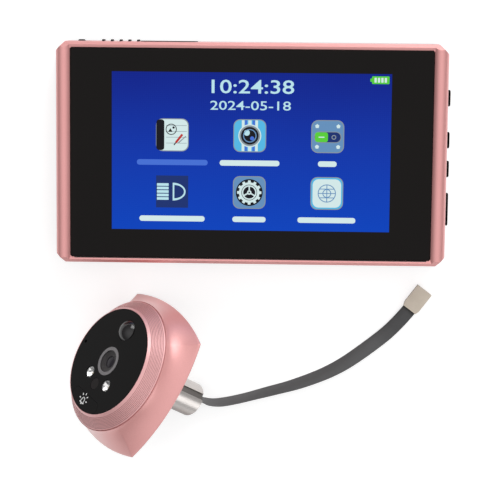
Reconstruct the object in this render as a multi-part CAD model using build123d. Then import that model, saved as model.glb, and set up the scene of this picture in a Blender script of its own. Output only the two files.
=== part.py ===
from build123d import *
import math
import os

# A peephole door camera set in millimetres, +Z up, lying on the plane z = 0.
# The indoor monitor lies on its back with its screen up, and the origin is the centre of its back face.
# The outdoor camera unit lies beside it. It leans on one bowed side of its base and on the end of its
# mounting tube, with its ribbon cable laid out across the table to the cream plug.

os.makedirs("parts", exist_ok=True)

# Overruns and clearances that several pieces share
overrun = 2.0              # how far a cut runs past the face that it opens
slip = 0.08                # round a key, a slider or a button that moves in its hole
seat_gap = 0.1             # round a fixed piece in its pocket
board_play = 0.3           # between a piece and the wall that it is foamed against
hidden_sides = 8           # bosses, screws and posts inside are plain prisms
hidden_round_sides = 24    # and so are large round hollows and boards

# The display, and what is laid round it
screen_width = 95.04       # lit area of a 4.3 inch display
screen_height = 53.86
module_side = 5.23         # the display module past the picture, left and right
module_end = 6.67          # and above and below
window_side = 9.05         # the front window past the module
window_end = 2.2
frame_side = 5.0           # the case past the window
frame_end = 2.0
module_width = screen_width + 2 * module_side
module_height = screen_height + 2 * module_end
window_width = module_width + 2 * window_side
window_height = module_height + 2 * window_end

# Monitor case
monitor_width = window_width + 2 * frame_side      # outline at the front edge
monitor_height = window_height + 2 * frame_end
wall_flare = 0.2           # the walls lean out by this much from the front edge down to the seam
corner_cut = 3.2
case_wall = 1.6
seam_below_board = 3.6     # rear cover below the seam, front frame above it
column_radius = 2.7        # the half-round columns at the left and right
column_rise = 0.8          # crest of a column above the window
bar_bevel = 1.05           # the bevel along the top and bottom edges
boss_radius = 2.3
boss_bore = 1.0
boss_from_top = 8.3        # centre of a boss below the top edge, and above the bottom one
boss_bite = 0.1            # how far a boss is sunk in the wall

# Front window
window_thickness = 1.4
window_corner = 0.5
window_edge_bevel = 0.25
groove_depth = 0.3         # the sloped groove of the frame round the window
groove_side_width = 0.35
groove_end_width = 0.85
ledge_thickness = 1.2

# Display module, its picture centred a little above the middle of the case
screen_above_centre = 0.85
module_thickness = 3.0
module_play = 0.3
glass_thickness = 0.9
glass_margin = 2.2         # the glass beyond the picture at its sides
gasket_thickness = 0.4
gasket_width = 3.0

# Main board, hung on four posts from the ledge
board_side_inset = 2.8     # the board inside the window's outline
board_end_inset = 5.8
board_width = window_width - 2 * board_side_inset
board_height = window_height - 2 * board_end_inset
board_thickness = 1.2
board_drop = 3.6           # from the ledge down to the board
board_above_tub = 0.45     # from the battery tub's roof up to the board
post_radius = 1.9
post_bore = 0.7
post_inset = 2.6           # centre of a post inside the board's edges
board_screw_head = 1.5
board_screw_head_height = 1.0
chip_size = 14.0
chip_height = 1.2
memory_chip_size = 9.0
chip_x_share = -0.18       # share of the board's width
chip_y_share = 0.22        # share of the board's height

# Side keys on the right wall: centre height above the middle, and length
key_places = [(19.57, 5.6), (5.18, 5.6), (-4.77, 5.6), (-18.73, 11.3)]
key_names = ["upper_key", "middle_key", "lower_key", "long_key"]
key_height = 2.4
key_proud = 0.7
key_bevel = 0.25
key_corner = 0.7
key_flange = 0.9           # how far the flange reaches past the slot
key_flange_thickness = 1.0
key_stem = 1.6
key_travel = 0.4
switch_rest = 0.05         # left between a pressed key and its switch
switch_length = 4.6
switch_width = 3.6
switch_height = 2.2
switch_plunger = 0.6
switch_overhang = 1.6      # the switch past the board's edge

# Power switch on the top wall, left end
slider_from_left = 8.1     # centre of the knob from the left edge
slider_width = 2.25
slider_height = 1.9
slider_proud = 0.45
slider_bevel = 0.25
slider_travel = 2.0
slider_flange_thickness = 1.0
slider_stem = 1.0
power_body_width = 4.8
power_body_depth = 3.2
power_body_height = 2.4
power_body_bite = 0.8      # how far the switch reaches in over the board

# Speaker slots in the top wall
slot_count = 5
slot_pitch = 3.0
slot_first_from_left = 15.8
slot_width = 0.8
slot_length = 6.2
slot_below_ledge = 0.9
speaker_margin = 1.5       # the speaker box past the outer slots
speaker_depth = 4.4
speaker_height = 5.4
speaker_seat = 0.3

# Socket opening in the top wall and its rubber flap
flap_width = 19.4
flap_height = 6.4
flap_from_left = 38.3      # centre of the flap from the left edge
flap_proud = 0.15
flap_skin = 0.9
flap_rim = 0.8             # the flap's skin past the opening it plugs
flap_corner = 1.6
flap_plug_depth = 0.9
usb_width = 7.6
usb_height = 2.7
usb_length = 6.6
usb_wall = 0.35
card_width = 13.6
card_height = 1.35
card_length = 13.0
card_wall = 0.25
socket_set_back = 0.9      # mouths of both sockets behind the wall's inner face

# Rear cover
rear_wall = 1.5
rear_bevel = 1.2
lip_height = 1.4
lip_thickness = 0.9
recess_width = 64.0        # pocket for the wall bracket
recess_height_share = 0.384    # of the case's height
recess_centre_share = 0.245
recess_height = monitor_height * recess_height_share
recess_above_centre = monitor_height * recess_centre_share
recess_depth = 4.4
recess_corner = 2.0
recess_floor = 1.4
hook_slot_length = 8.0
hook_slot_width = 2.6
hook_spacing_x = 44.0
hook_spacing_y = 18.0
socket_window_width = 12.0
socket_window_height = 7.0
screw_head_radius = 1.9
screw_head_height = 1.3
screw_shank_radius = 0.95
screw_reach = 5.0
screw_recess = 1.6
cover_boss_wall = 1.0

# Battery, its tub in the rear cover and its sliding door
battery_width = 78.0
battery_height_share = 0.317
battery_height = monitor_height * battery_height_share
battery_thickness = 5.5
battery_corner = 2.0
tub_wall = 1.0
tub_centre_share = 0.251
tub_below_centre = monitor_height * tub_centre_share
tub_play = 0.4
door_width = 82.0
door_thickness = 1.4
door_above_tub = 1.2       # the door past the tub at its inner end
door_tongue = 1.0
door_tongue_thickness = 0.45
door_recess = 0.05         # the door's face above the back face
grip_count = 5
grip_pitch = 2.2
grip_width = 1.0
grip_length = 16.0
grip_depth = 0.4
grip_from_edge = 6.0
contact_width = 3.0
contact_thickness = 0.3
contact_pitch = 7.0
contact_count = 3

# Camera socket on the board, facing back through the window in the recess
camera_socket_width = 8.4
camera_socket_depth = 4.4
camera_socket_height = 3.3
camera_slot_depth = 2.8

# Outdoor unit, in its own frame: z = 0 is the plane of its face, +z out to the visitor, +y up
face_radius = 18.9
face_thickness = 1.4
ring_width = 4.6
ring_radius = face_radius + ring_width
ring_depth = 4.45
ring_seam = 0.14
ring_groove_count = 1
ring_groove_depth = 0.17
ring_plain_inner = 1.0     # smooth band beside the face
ring_ledge_width = 1.0
ring_ledge_thickness = 0.9
ring_skirt_wall = 1.2
skirt_depth = 6.8
base_flare = 2.8           # the base's bowed sides past the ring
base_bow = 4.1             # the middle of a side past its corners
base_flat = ring_radius + base_flare   # middle of a bowed side from the middle
base_corner = base_flat - base_bow     # corner from the middle, along each side
base_depth = 12.85
base_rim = 0.4
housing_wall = 1.6
flare_bands = 4
flare_power = 1.8          # how late the sides spread on their way down from the ring to the rim

# Things in the face, x right and y up
eye_share = 0.6455         # of the face's radius
eye_y = face_radius * eye_share        # passive infrared dome
eye_radius = 3.7
eye_rise = 2.2
eye_wall = 0.6
eye_steps = 3
eye_flange = 0.6
eye_flange_thickness = 0.6
eye_can_radius = 2.7
eye_can_height = 3.4
eye_can_flange = 0.5
eye_can_flange_height = 0.5
lens_ring_outer = 5.1
lens_ring_inner = 3.9
lens_ring_proud = 0.05
lens_barrel_gap = 0.05
lens_step_count = 2
lens_step_width = 0.9
lens_step_drop = 0.35
lens_shoulder = 0.5        # under the edge of the front glass
lens_set_back = 0.35
lens_glass_sag = 0.4
lens_glass_edge = 0.5
sensor_size = 4.2
sensor_height = 0.9
lamp_x_share = 0.307
lamp_y_share = -0.37
led_x = face_radius * lamp_x_share
led_y = face_radius * lamp_y_share
led_radius = 2.05
led_set_back = 0.25
light_sensor_share = -0.476
light_sensor_y = face_radius * light_sensor_share
light_sensor_radius = 2.0
light_sensor_set_back = 0.05
mic_share = -0.894
mic_x = face_radius * mic_share
mic_hole_radius = 0.6
mic_radius = 1.5
mic_height = 2.0
mic_shift = 0.6            # the microphone sits this much nearer to the middle than its hole

# Bell button, a segment at the foot of the face
bell_top_share = -0.709
bell_width_share = 0.4444
bell_top_y = face_radius * bell_top_share
bell_half_width = face_radius * bell_width_share
bell_corner = 2.0
bell_cap = 0.9
bell_edge_inset = 1.35     # the block under the cap inside the cap's outline
bell_flange_thickness = 0.8
bell_flange_reach = 0.6
bell_stem_radius = 1.2
bell_stem_share = -0.81
bell_stem_y = face_radius * bell_stem_share
bell_travel = 0.4
bell_switch_size = 4.0
bell_switch_height = 2.0
bell_switch_tip_radius = 1.0
bell_switch_tip = 0.4

# Board, back plate, mounting tube and gasket
unit_board_inset = 2.2     # the camera board inside the ring's outline
unit_board_radius = ring_radius - unit_board_inset
unit_board_thickness = 1.0
unit_board_gap = 0.3       # from the board's back to the screw bosses
back_plate_thickness = 1.2
back_plate_inset = 2.4     # the plate inside the middle of the base's sides
back_plate_radius = base_flat - back_plate_inset
housing_throat = ring_radius - housing_wall
unit_boss_radius = 2.2
unit_boss_inset = 1.25     # centre of a screw boss inside the throat
unit_screw_circle = housing_throat - unit_boss_inset
unit_screw_place = unit_screw_circle / math.sqrt(2)
unit_screw_shank = 0.75
unit_screw_head = 1.6
unit_screw_head_height = 0.8
unit_screw_reach = 1.8
tube_radius = 6.0
tube_wall = 1.1
tube_neck_step = 0.15      # the neck in the plate and the pad is this much slimmer
tube_neck_radius = tube_radius - tube_neck_step
tube_end_depth = 40.65
tube_flange_radius = 9.2
tube_flange_thickness = 1.2
tube_tip_chamfer = 0.3
tube_slot_width = 2.3
tube_slot_depth = 0.7      # a groove in the wall, which leaves a thin floor
tube_slot_angle = 34.0     # degrees from +x towards +y
tube_slot_start = 2.2      # behind the base
tube_screw_circle = 7.6
tube_screw_count = 3
tube_screw_shank = 0.6
tube_screw_head = 1.1
tube_screw_head_height = 0.6
pad_gap = 1.0              # between the pad and the heads of the screws
pad_radius = unit_screw_circle - unit_screw_head - pad_gap
pad_thickness = 1.0
pad_hole_gap = 0.6

# Where the unit lies
unit_x = -47.4
unit_y = -69.77
unit_heading = 146.2       # degrees from +X to the level direction of the unit's face
unit_roll = 5.35           # degrees between straight down and the middle of the side that it lies on
rest_gap = 0.01

# Ribbon cable
ribbon_width = 5.0
ribbon_thickness = 0.3
ribbon_offset = 1.5        # from the tube's axis, towards the unit's top
ribbon_shift = 1.5         # from the tube's axis, away from the table
ribbon_exit_run = 4.3
header_width = 7.0
header_depth = 2.6
header_height = 2.0
ribbon_route = [
    (-11.0, -89.55, 2.35),
    (-3.4, -88.0, 2.2),
    (5.6, -85.85, 1.9),
    (17.6, -82.45, 1.45),
    (31.0, -77.2, 0.95),
    (42.6, -69.75, 0.7),
    (51.1, -61.68, 1.1),
    (56.1, -55.05, 1.1),
]
ribbon_turn_share = 0.45   # of the shorter run, taken by half an arc
ribbon_stations = 18
ribbon_tilt_lengths = [0.0, 5.0, 10.0, 19.0, 27.0, 35.0, 43.0, 54.0, 67.0, 77.0]
ribbon_tilts = [95.35, 72.0, 60.0, 53.0, 42.0, 32.0, 23.0, 14.0, 5.0, 0.0]
plug_width = 6.1
plug_length = 8.7
plug_thickness = 2.2
plug_neck_width = 5.2
plug_shoulder = 1.3
plug_pin_count = 5
plug_pin_pitch = 1.0
plug_pin_size = 0.5
plug_pin_depth = 2.0

# Heights in the monitor, from the back face up: door, battery, board, ledge, window
battery_bottom = door_recess + door_thickness + seat_gap
tub_ceiling = battery_bottom + battery_thickness + seat_gap
board_bottom = tub_ceiling + tub_wall + board_above_tub
board_top = board_bottom + board_thickness
ledge_bottom = board_top + board_drop
ledge_top = ledge_bottom + ledge_thickness
monitor_depth = ledge_top + window_thickness       # 16 mm from the back face to the window's face
column_centre = monitor_depth + column_rise - column_radius
module_top = ledge_top - gasket_thickness
seam_height = board_bottom - seam_below_board
key_centre = board_bottom - switch_height / 2

# Half sizes of the case's inside
inner_x = monitor_width / 2 - case_wall
inner_y = monitor_height / 2 - case_wall
boss_x = inner_x - boss_radius + boss_bite
boss_y = monitor_height / 2 - boss_from_top
post_x = board_width / 2 - post_inset
post_y = board_height / 2 - post_inset


def block(size_x, size_y, low, high, x=0, y=0):
    """A box between two heights."""
    body = Box(size_x, size_y, high - low, align=(Align.CENTER, Align.CENTER, Align.MIN))
    return Pos(x, y, low) * body


def rod(radius, low, high, x=0, y=0):
    """An upright cylinder between two heights."""
    body = Cylinder(radius, high - low, align=(Align.CENTER, Align.CENTER, Align.MIN))
    return Pos(x, y, low) * body


def post(radius, low, high, x=0, y=0, sides=hidden_sides):
    """An upright prism for a hidden boss or screw."""
    outline = Pos(x, y, low) * RegularPolygon(radius, sides)
    return extrude(outline, amount=high - low)


def corners(half_x, half_y):
    return [(x, y) for x in (-half_x, half_x) for y in (-half_y, half_y)]


def octagon(half_x, half_y, cut, height):
    """A rectangle with its four corners cut off at 45 degrees, as a flat face."""
    points = [
        (half_x - cut, half_y, height), (-half_x + cut, half_y, height),
        (-half_x, half_y - cut, height), (-half_x, -half_y + cut, height),
        (-half_x + cut, -half_y, height), (half_x - cut, -half_y, height),
        (half_x, -half_y + cut, height), (half_x, half_y - cut, height),
    ]
    return make_face(Polyline(*points, close=True))


def inset_cut(inset, cut=corner_cut):
    """The corner cut of an outline that lies evenly inside another by the given amount."""
    return cut - inset * (2 - math.sqrt(2))


def rounded_block(size_x, size_y, low, high, radius, x=0, y=0):
    outline = Pos(x, y, low) * RectangleRounded(size_x, size_y, radius)
    return extrude(outline, amount=high - low)


def wall_at(height):
    """How far the outer wall leans out at a height."""
    return wall_flare * (column_centre - height) / (column_centre - seam_height)


def across(outline, low, high):
    """A sketch in the YZ plane made solid from one X to another."""
    return Pos(low, 0, 0) * extrude(Plane.YZ * outline, amount=high - low)


def upright(outline, low, high):
    """A sketch in the XZ plane made solid from one Y to another."""
    return Pos(0, high, 0) * extrude(Plane.XZ * outline, amount=high - low)


def front_silhouette():
    """The case seen from its foot: two half-round columns with the flat front between them."""
    outer = monitor_width / 2
    wide = outer + wall_flare + overrun
    centre_x = outer - column_radius
    crest = monitor_depth + column_rise
    inner = centre_x - math.sqrt(column_radius**2 - (monitor_depth - column_centre)**2)
    outline = Polyline((-outer, column_centre), (-wide, column_centre), (-wide, -overrun),
                       (wide, -overrun), (wide, column_centre), (outer, column_centre))
    right = ThreePointArc(
        (outer, column_centre),
        (centre_x + column_radius * math.sin(math.pi / 4), column_centre + column_radius * math.sin(math.pi / 4)),
        (centre_x, crest),
    )
    mid = (centre_x + inner) / 2
    mid_height = column_centre + math.sqrt(column_radius**2 - (centre_x - mid)**2)
    right_in = ThreePointArc((centre_x, crest), (mid, mid_height), (inner, monitor_depth))
    front = Line((inner, monitor_depth), (-inner, monitor_depth))
    left_in = ThreePointArc((-inner, monitor_depth), (-mid, mid_height), (-centre_x, crest))
    left = ThreePointArc(
        (-centre_x, crest),
        (-centre_x - column_radius * math.sin(math.pi / 4), column_centre + column_radius * math.sin(math.pi / 4)),
        (-outer, column_centre),
    )
    shape = make_face(Curve() + [outline, right, right_in, front, left_in, left])
    return upright(shape, -monitor_height, monitor_height)


def edge_bevels():
    """What the 45 degree bevels take off along the top and bottom edges."""
    crest = monitor_depth + column_rise + overrun
    foot = monitor_depth - bar_bevel
    edge = monitor_height / 2
    shape = make_face(Polyline((edge, foot), (edge + overrun, foot), (edge + overrun, crest),
                               (edge - (crest - foot), crest), close=True))
    wedge = across(shape, -monitor_width, monitor_width)
    return wedge + mirror(wedge, Plane.XZ)


def window_groove():
    """The sloped groove that runs round the window, wide along its top and foot."""
    half_x = window_width / 2 + seat_gap
    half_y = window_height / 2 + seat_gap
    low = Pos(0, 0, monitor_depth - groove_depth) * Rectangle(2 * half_x, 2 * half_y)
    high = Pos(0, 0, monitor_depth) * Rectangle(2 * (half_x + groove_side_width), 2 * (half_y + groove_end_width))
    return loft([low, high], ruled=True)


def key_slot(place, length, gap, low, high):
    """A key's outline with its corners cut off, grown by a gap."""
    outline = octagon(length / 2 + gap, key_height / 2 + gap, inset_cut(-gap, key_corner), 0)
    return across(Pos(place, key_centre) * outline, low, high)


def slider_middle():
    """X of the power switch's knob at rest."""
    return -monitor_width / 2 + slider_from_left


def flap_middle():
    return -monitor_width / 2 + flap_from_left


def slot_places():
    first = -monitor_width / 2 + slot_first_from_left
    return [first + slot_pitch * index for index in range(slot_count)]


def front_frame():
    seam = octagon(monitor_width / 2 + wall_flare, monitor_height / 2 + wall_flare, corner_cut, seam_height)
    edge = octagon(monitor_width / 2, monitor_height / 2, corner_cut, column_centre)
    body = loft([seam, edge], ruled=True) + extrude(edge, amount=column_radius)
    body = body & front_silhouette()
    body -= edge_bevels()
    body -= extrude(window_outline(-seat_gap), amount=monitor_depth - ledge_top + overrun)
    body -= window_groove()
    opening_x = module_width + 2 * module_play
    opening_y = module_height + 2 * module_play
    body -= block(opening_x, opening_y, ledge_bottom - overrun, ledge_top + overrun)
    cavity = octagon(inner_x, inner_y, inset_cut(case_wall), seam_height - overrun)
    body -= extrude(cavity, amount=ledge_bottom - seam_height + overrun)
    for x, y in corners(boss_x, boss_y):
        boss = post(boss_radius, seam_height + lip_height + seat_gap, ledge_bottom, x, y)
        body += boss
        body -= post(boss_bore, seam_height, ledge_bottom, x, y)
    for x, y in corners(post_x, post_y):
        body += post(post_radius, board_top, ledge_bottom, x, y)
        body -= post(post_bore, board_top - overrun, ledge_bottom, x, y)
    for place, length in key_places:
        body -= key_slot(place, length, slip, inner_x - overrun, monitor_width)
    slot_run = slider_travel + slider_width + 2 * slip
    slot_x = slider_middle() + slider_travel / 2
    body -= block(slot_run, monitor_height / 2, key_centre - slider_height / 2 - slip,
                  key_centre + slider_height / 2 + slip, slot_x, inner_y - overrun + monitor_height / 4)
    slot_top = ledge_bottom - slot_below_ledge
    for x in slot_places():
        body -= block(slot_width, monitor_height / 2, slot_top - slot_length, slot_top,
                      x, inner_y - overrun + monitor_height / 4)
    body -= flap_opening()
    return body


def flap_outline(inset):
    """The flap's outline with its corners cut off, drawn in by an inset."""
    outline = octagon(flap_width / 2 - inset, flap_height / 2 - inset, inset_cut(inset, flap_corner), 0)
    return Pos(flap_middle(), (board_top + board_bottom) / 2) * outline


def flap_opening():
    """The hole in the top wall and the shallow seat round it for the flap's skin."""
    centre = (board_top + board_bottom) / 2
    outside = monitor_height / 2 + wall_flare + overrun
    floor = monitor_height / 2 + wall_at(centre) - flap_skin
    return upright(flap_outline(flap_rim), inner_y - overrun, outside) + upright(flap_outline(-slip), floor, outside)


def port_flap():
    """A rubber flap: a skin in the wall's seat and a plug in the hole behind it."""
    centre = (board_top + board_bottom) / 2
    floor = monitor_height / 2 + wall_at(centre) - flap_skin + slip
    body = upright(flap_outline(0), floor, floor + flap_skin + flap_proud)
    body += upright(flap_outline(flap_rim + slip), floor - flap_plug_depth, floor)
    body -= upright(flap_outline(2 * flap_rim + slip), floor - flap_plug_depth - overrun, floor)
    return body


def window_outline(inset):
    """The window's outline on its ledge, drawn in by an inset."""
    return octagon(window_width / 2 - inset, window_height / 2 - inset, inset_cut(inset, window_corner), ledge_top)


def front_window():
    body = extrude(window_outline(0), amount=window_thickness)
    return chamfer(body.faces().sort_by(Axis.Z)[-1].edges(), window_edge_bevel)


def display_gasket():
    ring = block(module_width, module_height, module_top, ledge_top)
    hole = block(module_width - 2 * gasket_width, module_height - 2 * gasket_width,
                 module_top - overrun, ledge_top + overrun)
    return ring - hole


def display_module():
    """The steel tray of the display, with the glass laid in its face."""
    body = block(module_width, module_height, module_top - module_thickness, module_top)
    body -= glass_block(glass_thickness, seat_gap)
    return body


def glass_block(depth, gap):
    return block(screen_width + 2 * (glass_margin + gap), screen_height + 2 * (glass_margin + gap),
                 module_top - depth, module_top, 0, screen_above_centre)


def display_glass():
    return glass_block(glass_thickness, 0)


def main_board():
    body = block(board_width, board_height, board_bottom, board_top)
    for x, y in corners(post_x, post_y):
        body -= post(post_bore + seat_gap, board_bottom - overrun, board_top + overrun, x, y)
    return body


def board_chips():
    x = board_width * chip_x_share
    y = board_height * chip_y_share
    chip = block(chip_size, chip_size, board_top, board_top + chip_height, x, y)
    memory = block(memory_chip_size, memory_chip_size, board_top, board_top + chip_height,
                   x + chip_size + memory_chip_size / 2, y)
    return Compound([chip.solid(), memory.solid()])


def board_screws():
    screws = []
    for x, y in corners(post_x, post_y):
        screw = post(board_screw_head, board_bottom - board_screw_head_height, board_bottom, x, y)
        screw += post(post_bore - seat_gap, board_bottom, ledge_bottom - board_thickness, x, y)
        screws.append(screw.solid())
    return Compound(screws)


def plunger_face():
    """X of the end of the key switches' plungers."""
    return board_width / 2 + switch_overhang + switch_plunger


def key_switches():
    switches = []
    low = board_bottom - switch_height
    for place, length in key_places:
        centre = board_width / 2 + switch_overhang - switch_length / 2
        body = block(switch_length, switch_width, low, board_bottom, centre, place)
        body += block(switch_plunger, switch_width / 2, low + switch_height / 4, board_bottom - switch_height / 4,
                      plunger_face() - switch_plunger / 2, place)
        switches.append(body.solid())
    return Compound(switches)


def side_key(place, length):
    """A key: its rounded cap in the slot, a flange behind the wall and a stem towards the switch."""
    face = monitor_width / 2 + wall_at(key_centre) + key_proud
    cap = key_slot(place, length, 0, inner_x - seat_gap, face)
    cap = chamfer(cap.faces().sort_by(Axis.X)[-1].edges(), key_bevel)
    back = inner_x - seat_gap - key_flange_thickness
    flange = key_slot(place, length, key_flange, back, inner_x - seat_gap)
    flange = flange & block(monitor_width, monitor_height, key_centre - switch_height / 2 - key_flange / 2,
                            key_centre + switch_height / 2 + key_flange / 2, monitor_width / 2, 0)
    tip = plunger_face() + key_travel + switch_rest
    stem = block(back - tip, key_stem, key_centre - key_stem / 2, key_centre + key_stem / 2,
                 (back + tip) / 2, place)
    return cap + flange + stem


def power_body_top():
    """Y of the power switch's outer face."""
    return board_height / 2 - power_body_bite + power_body_depth


def power_switch():
    x = slider_middle() + slider_travel / 2
    y = power_body_top() - power_body_depth / 2
    low = board_bottom - power_body_height
    body = block(power_body_width, power_body_depth, low, board_bottom, x, y)
    return body


def power_slider():
    face = monitor_height / 2 + wall_at(key_centre) + slider_proud
    x = slider_middle()
    half = slider_height / 2
    knob_low = inner_y - seat_gap
    knob = block(slider_width, face - knob_low, key_centre - half, key_centre + half, x, (face + knob_low) / 2)
    knob = chamfer(knob.faces().sort_by(Axis.Y)[-1].edges(), slider_bevel)
    flange_low = knob_low - slider_flange_thickness
    flange = block(2 * slider_travel + slider_width, slider_flange_thickness, key_centre - half - slider_stem / 2,
                   key_centre + half + slider_stem / 2, x, knob_low - slider_flange_thickness / 2)
    stem_low = power_body_top() + seat_gap
    stem = block(slider_stem, flange_low - stem_low, key_centre - slider_stem / 2, key_centre + slider_stem / 2,
                 x, (flange_low + stem_low) / 2)
    return knob + flange + stem


def speaker():
    """A small speaker box that fires through the slots in the top wall."""
    places = slot_places()
    width = places[-1] - places[0] + 2 * speaker_margin
    x = (places[-1] + places[0]) / 2
    front = inner_y - speaker_seat
    high = module_top - module_thickness - board_play
    body = block(width, speaker_depth, high - speaker_height, high, x, front - speaker_depth / 2)
    mouth = Pos(x, high - speaker_height / 2) * Rectangle(width - speaker_margin, speaker_height - speaker_margin)
    return body - upright(mouth, front - speaker_seat, front + overrun)


def usb_socket():
    x = flap_middle() - flap_width / 2 + usb_width / 2 + 2 * flap_rim
    mouth = inner_y - socket_set_back
    high = board_bottom
    body = block(usb_width, usb_length, high - usb_height, high, x, mouth - usb_length / 2)
    hollow = block(usb_width - 2 * usb_wall, usb_length, high - usb_height + usb_wall, high - usb_wall,
                   x, mouth - usb_length / 2 + usb_wall)
    tongue_height = (usb_height - 2 * usb_wall) / 4
    middle = high - usb_height / 2
    tongue = block(usb_width / 2, usb_length - usb_wall, middle - tongue_height / 2, middle + tongue_height / 2,
                   x, mouth - usb_length / 2 - usb_wall / 2)
    return body - hollow + tongue


def card_socket():
    x = flap_middle() + flap_width / 2 - card_width / 2 - flap_rim
    mouth = inner_y - socket_set_back
    body = block(card_width, card_length, board_top, board_top + card_height, x, mouth - card_length / 2)
    hollow = block(card_width - 8 * card_wall, card_length, board_top + card_wall,
                   board_top + card_height - card_wall, x, mouth - card_length / 2 + 8 * card_wall)
    return body - hollow


def tub_centre():
    return -tub_below_centre


def door_low_edge():
    return -monitor_height / 2 - wall_flare


def door_high_edge():
    return tub_centre() + battery_height / 2 + tub_play + door_above_tub


def door_shape(gap):
    """The door's plate with a tongue along each side, from past the case's foot to its inner end."""
    low = door_low_edge() - overrun
    high = door_high_edge() + gap
    y = (low + high) / 2
    top = door_recess + door_thickness
    tongue_low = top - door_tongue_thickness
    plate = block(door_width + 2 * gap, high - low, -overrun, top + gap, 0, y)
    tongue = block(door_width + 2 * door_tongue + 2 * gap, high - low, tongue_low - gap, top + gap, 0, y)
    return plate + tongue


def rear_outline():
    """The rear cover's outside, beveled along its back edge."""
    half_x = monitor_width / 2 + wall_flare
    half_y = monitor_height / 2 + wall_flare
    seam = octagon(half_x, half_y, corner_cut, rear_bevel)
    foot = octagon(half_x - rear_bevel, half_y - rear_bevel, inset_cut(rear_bevel), 0)
    return loft([foot, seam], ruled=True) + extrude(seam, amount=seam_height - rear_bevel)


def rear_cover():
    body = rear_outline()
    cavity = octagon(inner_x, inner_y, inset_cut(case_wall), rear_wall)
    body -= extrude(cavity, amount=seam_height)
    body += cover_lip()
    pocket_top = recess_depth + recess_floor
    pocket = octagon(recess_width / 2 + recess_floor, recess_height / 2 + recess_floor, recess_corner, rear_wall / 2)
    body += Pos(0, recess_above_centre, 0) * extrude(pocket, amount=pocket_top - rear_wall / 2)
    body -= rounded_block(recess_width, recess_height, -overrun, recess_depth, recess_corner,
                          0, recess_above_centre)
    for x, y in corners(hook_spacing_x / 2, hook_spacing_y / 2):
        slot = Pos(x, y + recess_above_centre, recess_depth - overrun) * SlotOverall(hook_slot_length,
                                                                                     hook_slot_width)
        body -= extrude(slot, amount=recess_floor + 2 * overrun)
    body -= block(socket_window_width, socket_window_height, recess_depth - overrun, pocket_top + overrun,
                  0, recess_above_centre)
    body += block(battery_width + 2 * (tub_play + tub_wall), battery_height + 2 * (tub_play + tub_wall),
                  rear_wall / 2, tub_ceiling + tub_wall, 0, tub_centre())
    body -= block(battery_width + 2 * tub_play, battery_height + 2 * tub_play, -overrun, tub_ceiling,
                  0, tub_centre())
    rail = block(door_width + 2 * (door_tongue + tub_wall), door_high_edge() + tub_wall + inner_y,
                 rear_wall / 2, door_recess + door_thickness + slip + tub_wall, 0,
                 (door_high_edge() + tub_wall - inner_y) / 2)
    hole = block(battery_width + 2 * tub_play, battery_height + 2 * tub_play, -overrun, tub_ceiling,
                 0, tub_centre())
    body += rail - hole
    body -= door_shape(slip)
    for x, y in corners(boss_x, boss_y):
        boss = post(screw_head_radius + cover_boss_wall, rear_wall / 2, seam_height + lip_height, x, y)
        body += boss & rear_inside()
        body -= post(boss_bore + seat_gap, -overrun, seam_height + lip_height + overrun, x, y)
        body -= post(screw_head_radius + seat_gap, -overrun, screw_recess + screw_head_height, x, y)
    return body


def rear_inside():
    """The space that the cover's own bosses may fill."""
    inside = octagon(inner_x, inner_y, inset_cut(case_wall), 0)
    low = extrude(inside, amount=seam_height)
    reach = case_wall + seat_gap
    lip = octagon(inner_x - seat_gap, inner_y - seat_gap, inset_cut(reach), seam_height)
    return low + extrude(lip, amount=lip_height)


def cover_lip():
    """The lip that fits inside the front frame's walls."""
    outer = octagon(inner_x - seat_gap, inner_y - seat_gap, inset_cut(case_wall + seat_gap), rear_wall)
    inset = seat_gap + lip_thickness
    inner = octagon(inner_x - inset, inner_y - inset, inset_cut(case_wall + inset), rear_wall)
    high = seam_height + lip_height
    ring = extrude(outer, amount=high - rear_wall) - extrude(inner, amount=high - rear_wall + overrun)
    foot = octagon(inner_x, inner_y, inset_cut(case_wall), rear_wall)
    ring += extrude(foot, amount=seam_height - rear_wall) - extrude(inner, amount=high)
    relief = key_height + 2 * key_flange
    ring -= block(case_wall + lip_thickness + overrun, board_height, key_centre - relief / 2 - seat_gap,
                  high + overrun, inner_x, 0)
    top_reach = flap_middle() + flap_width / 2 - slider_middle() + 4 * slider_travel
    ring -= block(top_reach, lip_thickness + slider_flange_thickness + overrun, key_centre - relief / 2 - seat_gap,
                  high + overrun, slider_middle() + top_reach / 2 - 2 * slider_travel, inner_y)
    return ring


def battery():
    outline = octagon(battery_width / 2, battery_height / 2, battery_corner, battery_bottom)
    return Pos(0, tub_centre(), 0) * extrude(outline, amount=battery_thickness)


def battery_contacts():
    """Flat contacts on the tub's end wall, against the pack."""
    contacts = []
    x = -battery_width / 2 - tub_play + contact_thickness / 2
    low = battery_bottom + seat_gap
    for index in range(contact_count):
        y = tub_centre() + contact_pitch * (index - (contact_count - 1) / 2)
        contacts.append(block(contact_thickness, contact_width, low, low + battery_thickness / 2, x, y).solid())
    return Compound(contacts)


def battery_door():
    body = door_shape(0) & rear_outline()
    top = door_recess + door_thickness
    body = body & block(monitor_width, monitor_height + 2 * wall_flare, door_recess, top)
    for index in range(grip_count):
        y = door_low_edge() + grip_from_edge + grip_pitch * index
        body -= block(grip_length, grip_width, -overrun, door_recess + grip_depth, 0, y)
    return body


def case_screws():
    screws = []
    head_top = screw_recess + screw_head_height
    for x, y in corners(boss_x, boss_y):
        screw = post(screw_head_radius, screw_recess, head_top, x, y)
        screw += post(screw_shank_radius, head_top, head_top + screw_reach, x, y)
        screws.append(screw.solid())
    return Compound(screws)


def camera_socket():
    """The cream socket that the plug pushes into from behind."""
    low = board_bottom - camera_socket_height
    body = block(camera_socket_width, camera_socket_depth, low, board_bottom, 0, recess_above_centre)
    return body - block(plug_width + 2 * seat_gap, plug_thickness + 2 * seat_gap, low - overrun,
                        low + camera_slot_depth, 0, recess_above_centre)


# The outdoor unit, in its own frame


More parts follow.
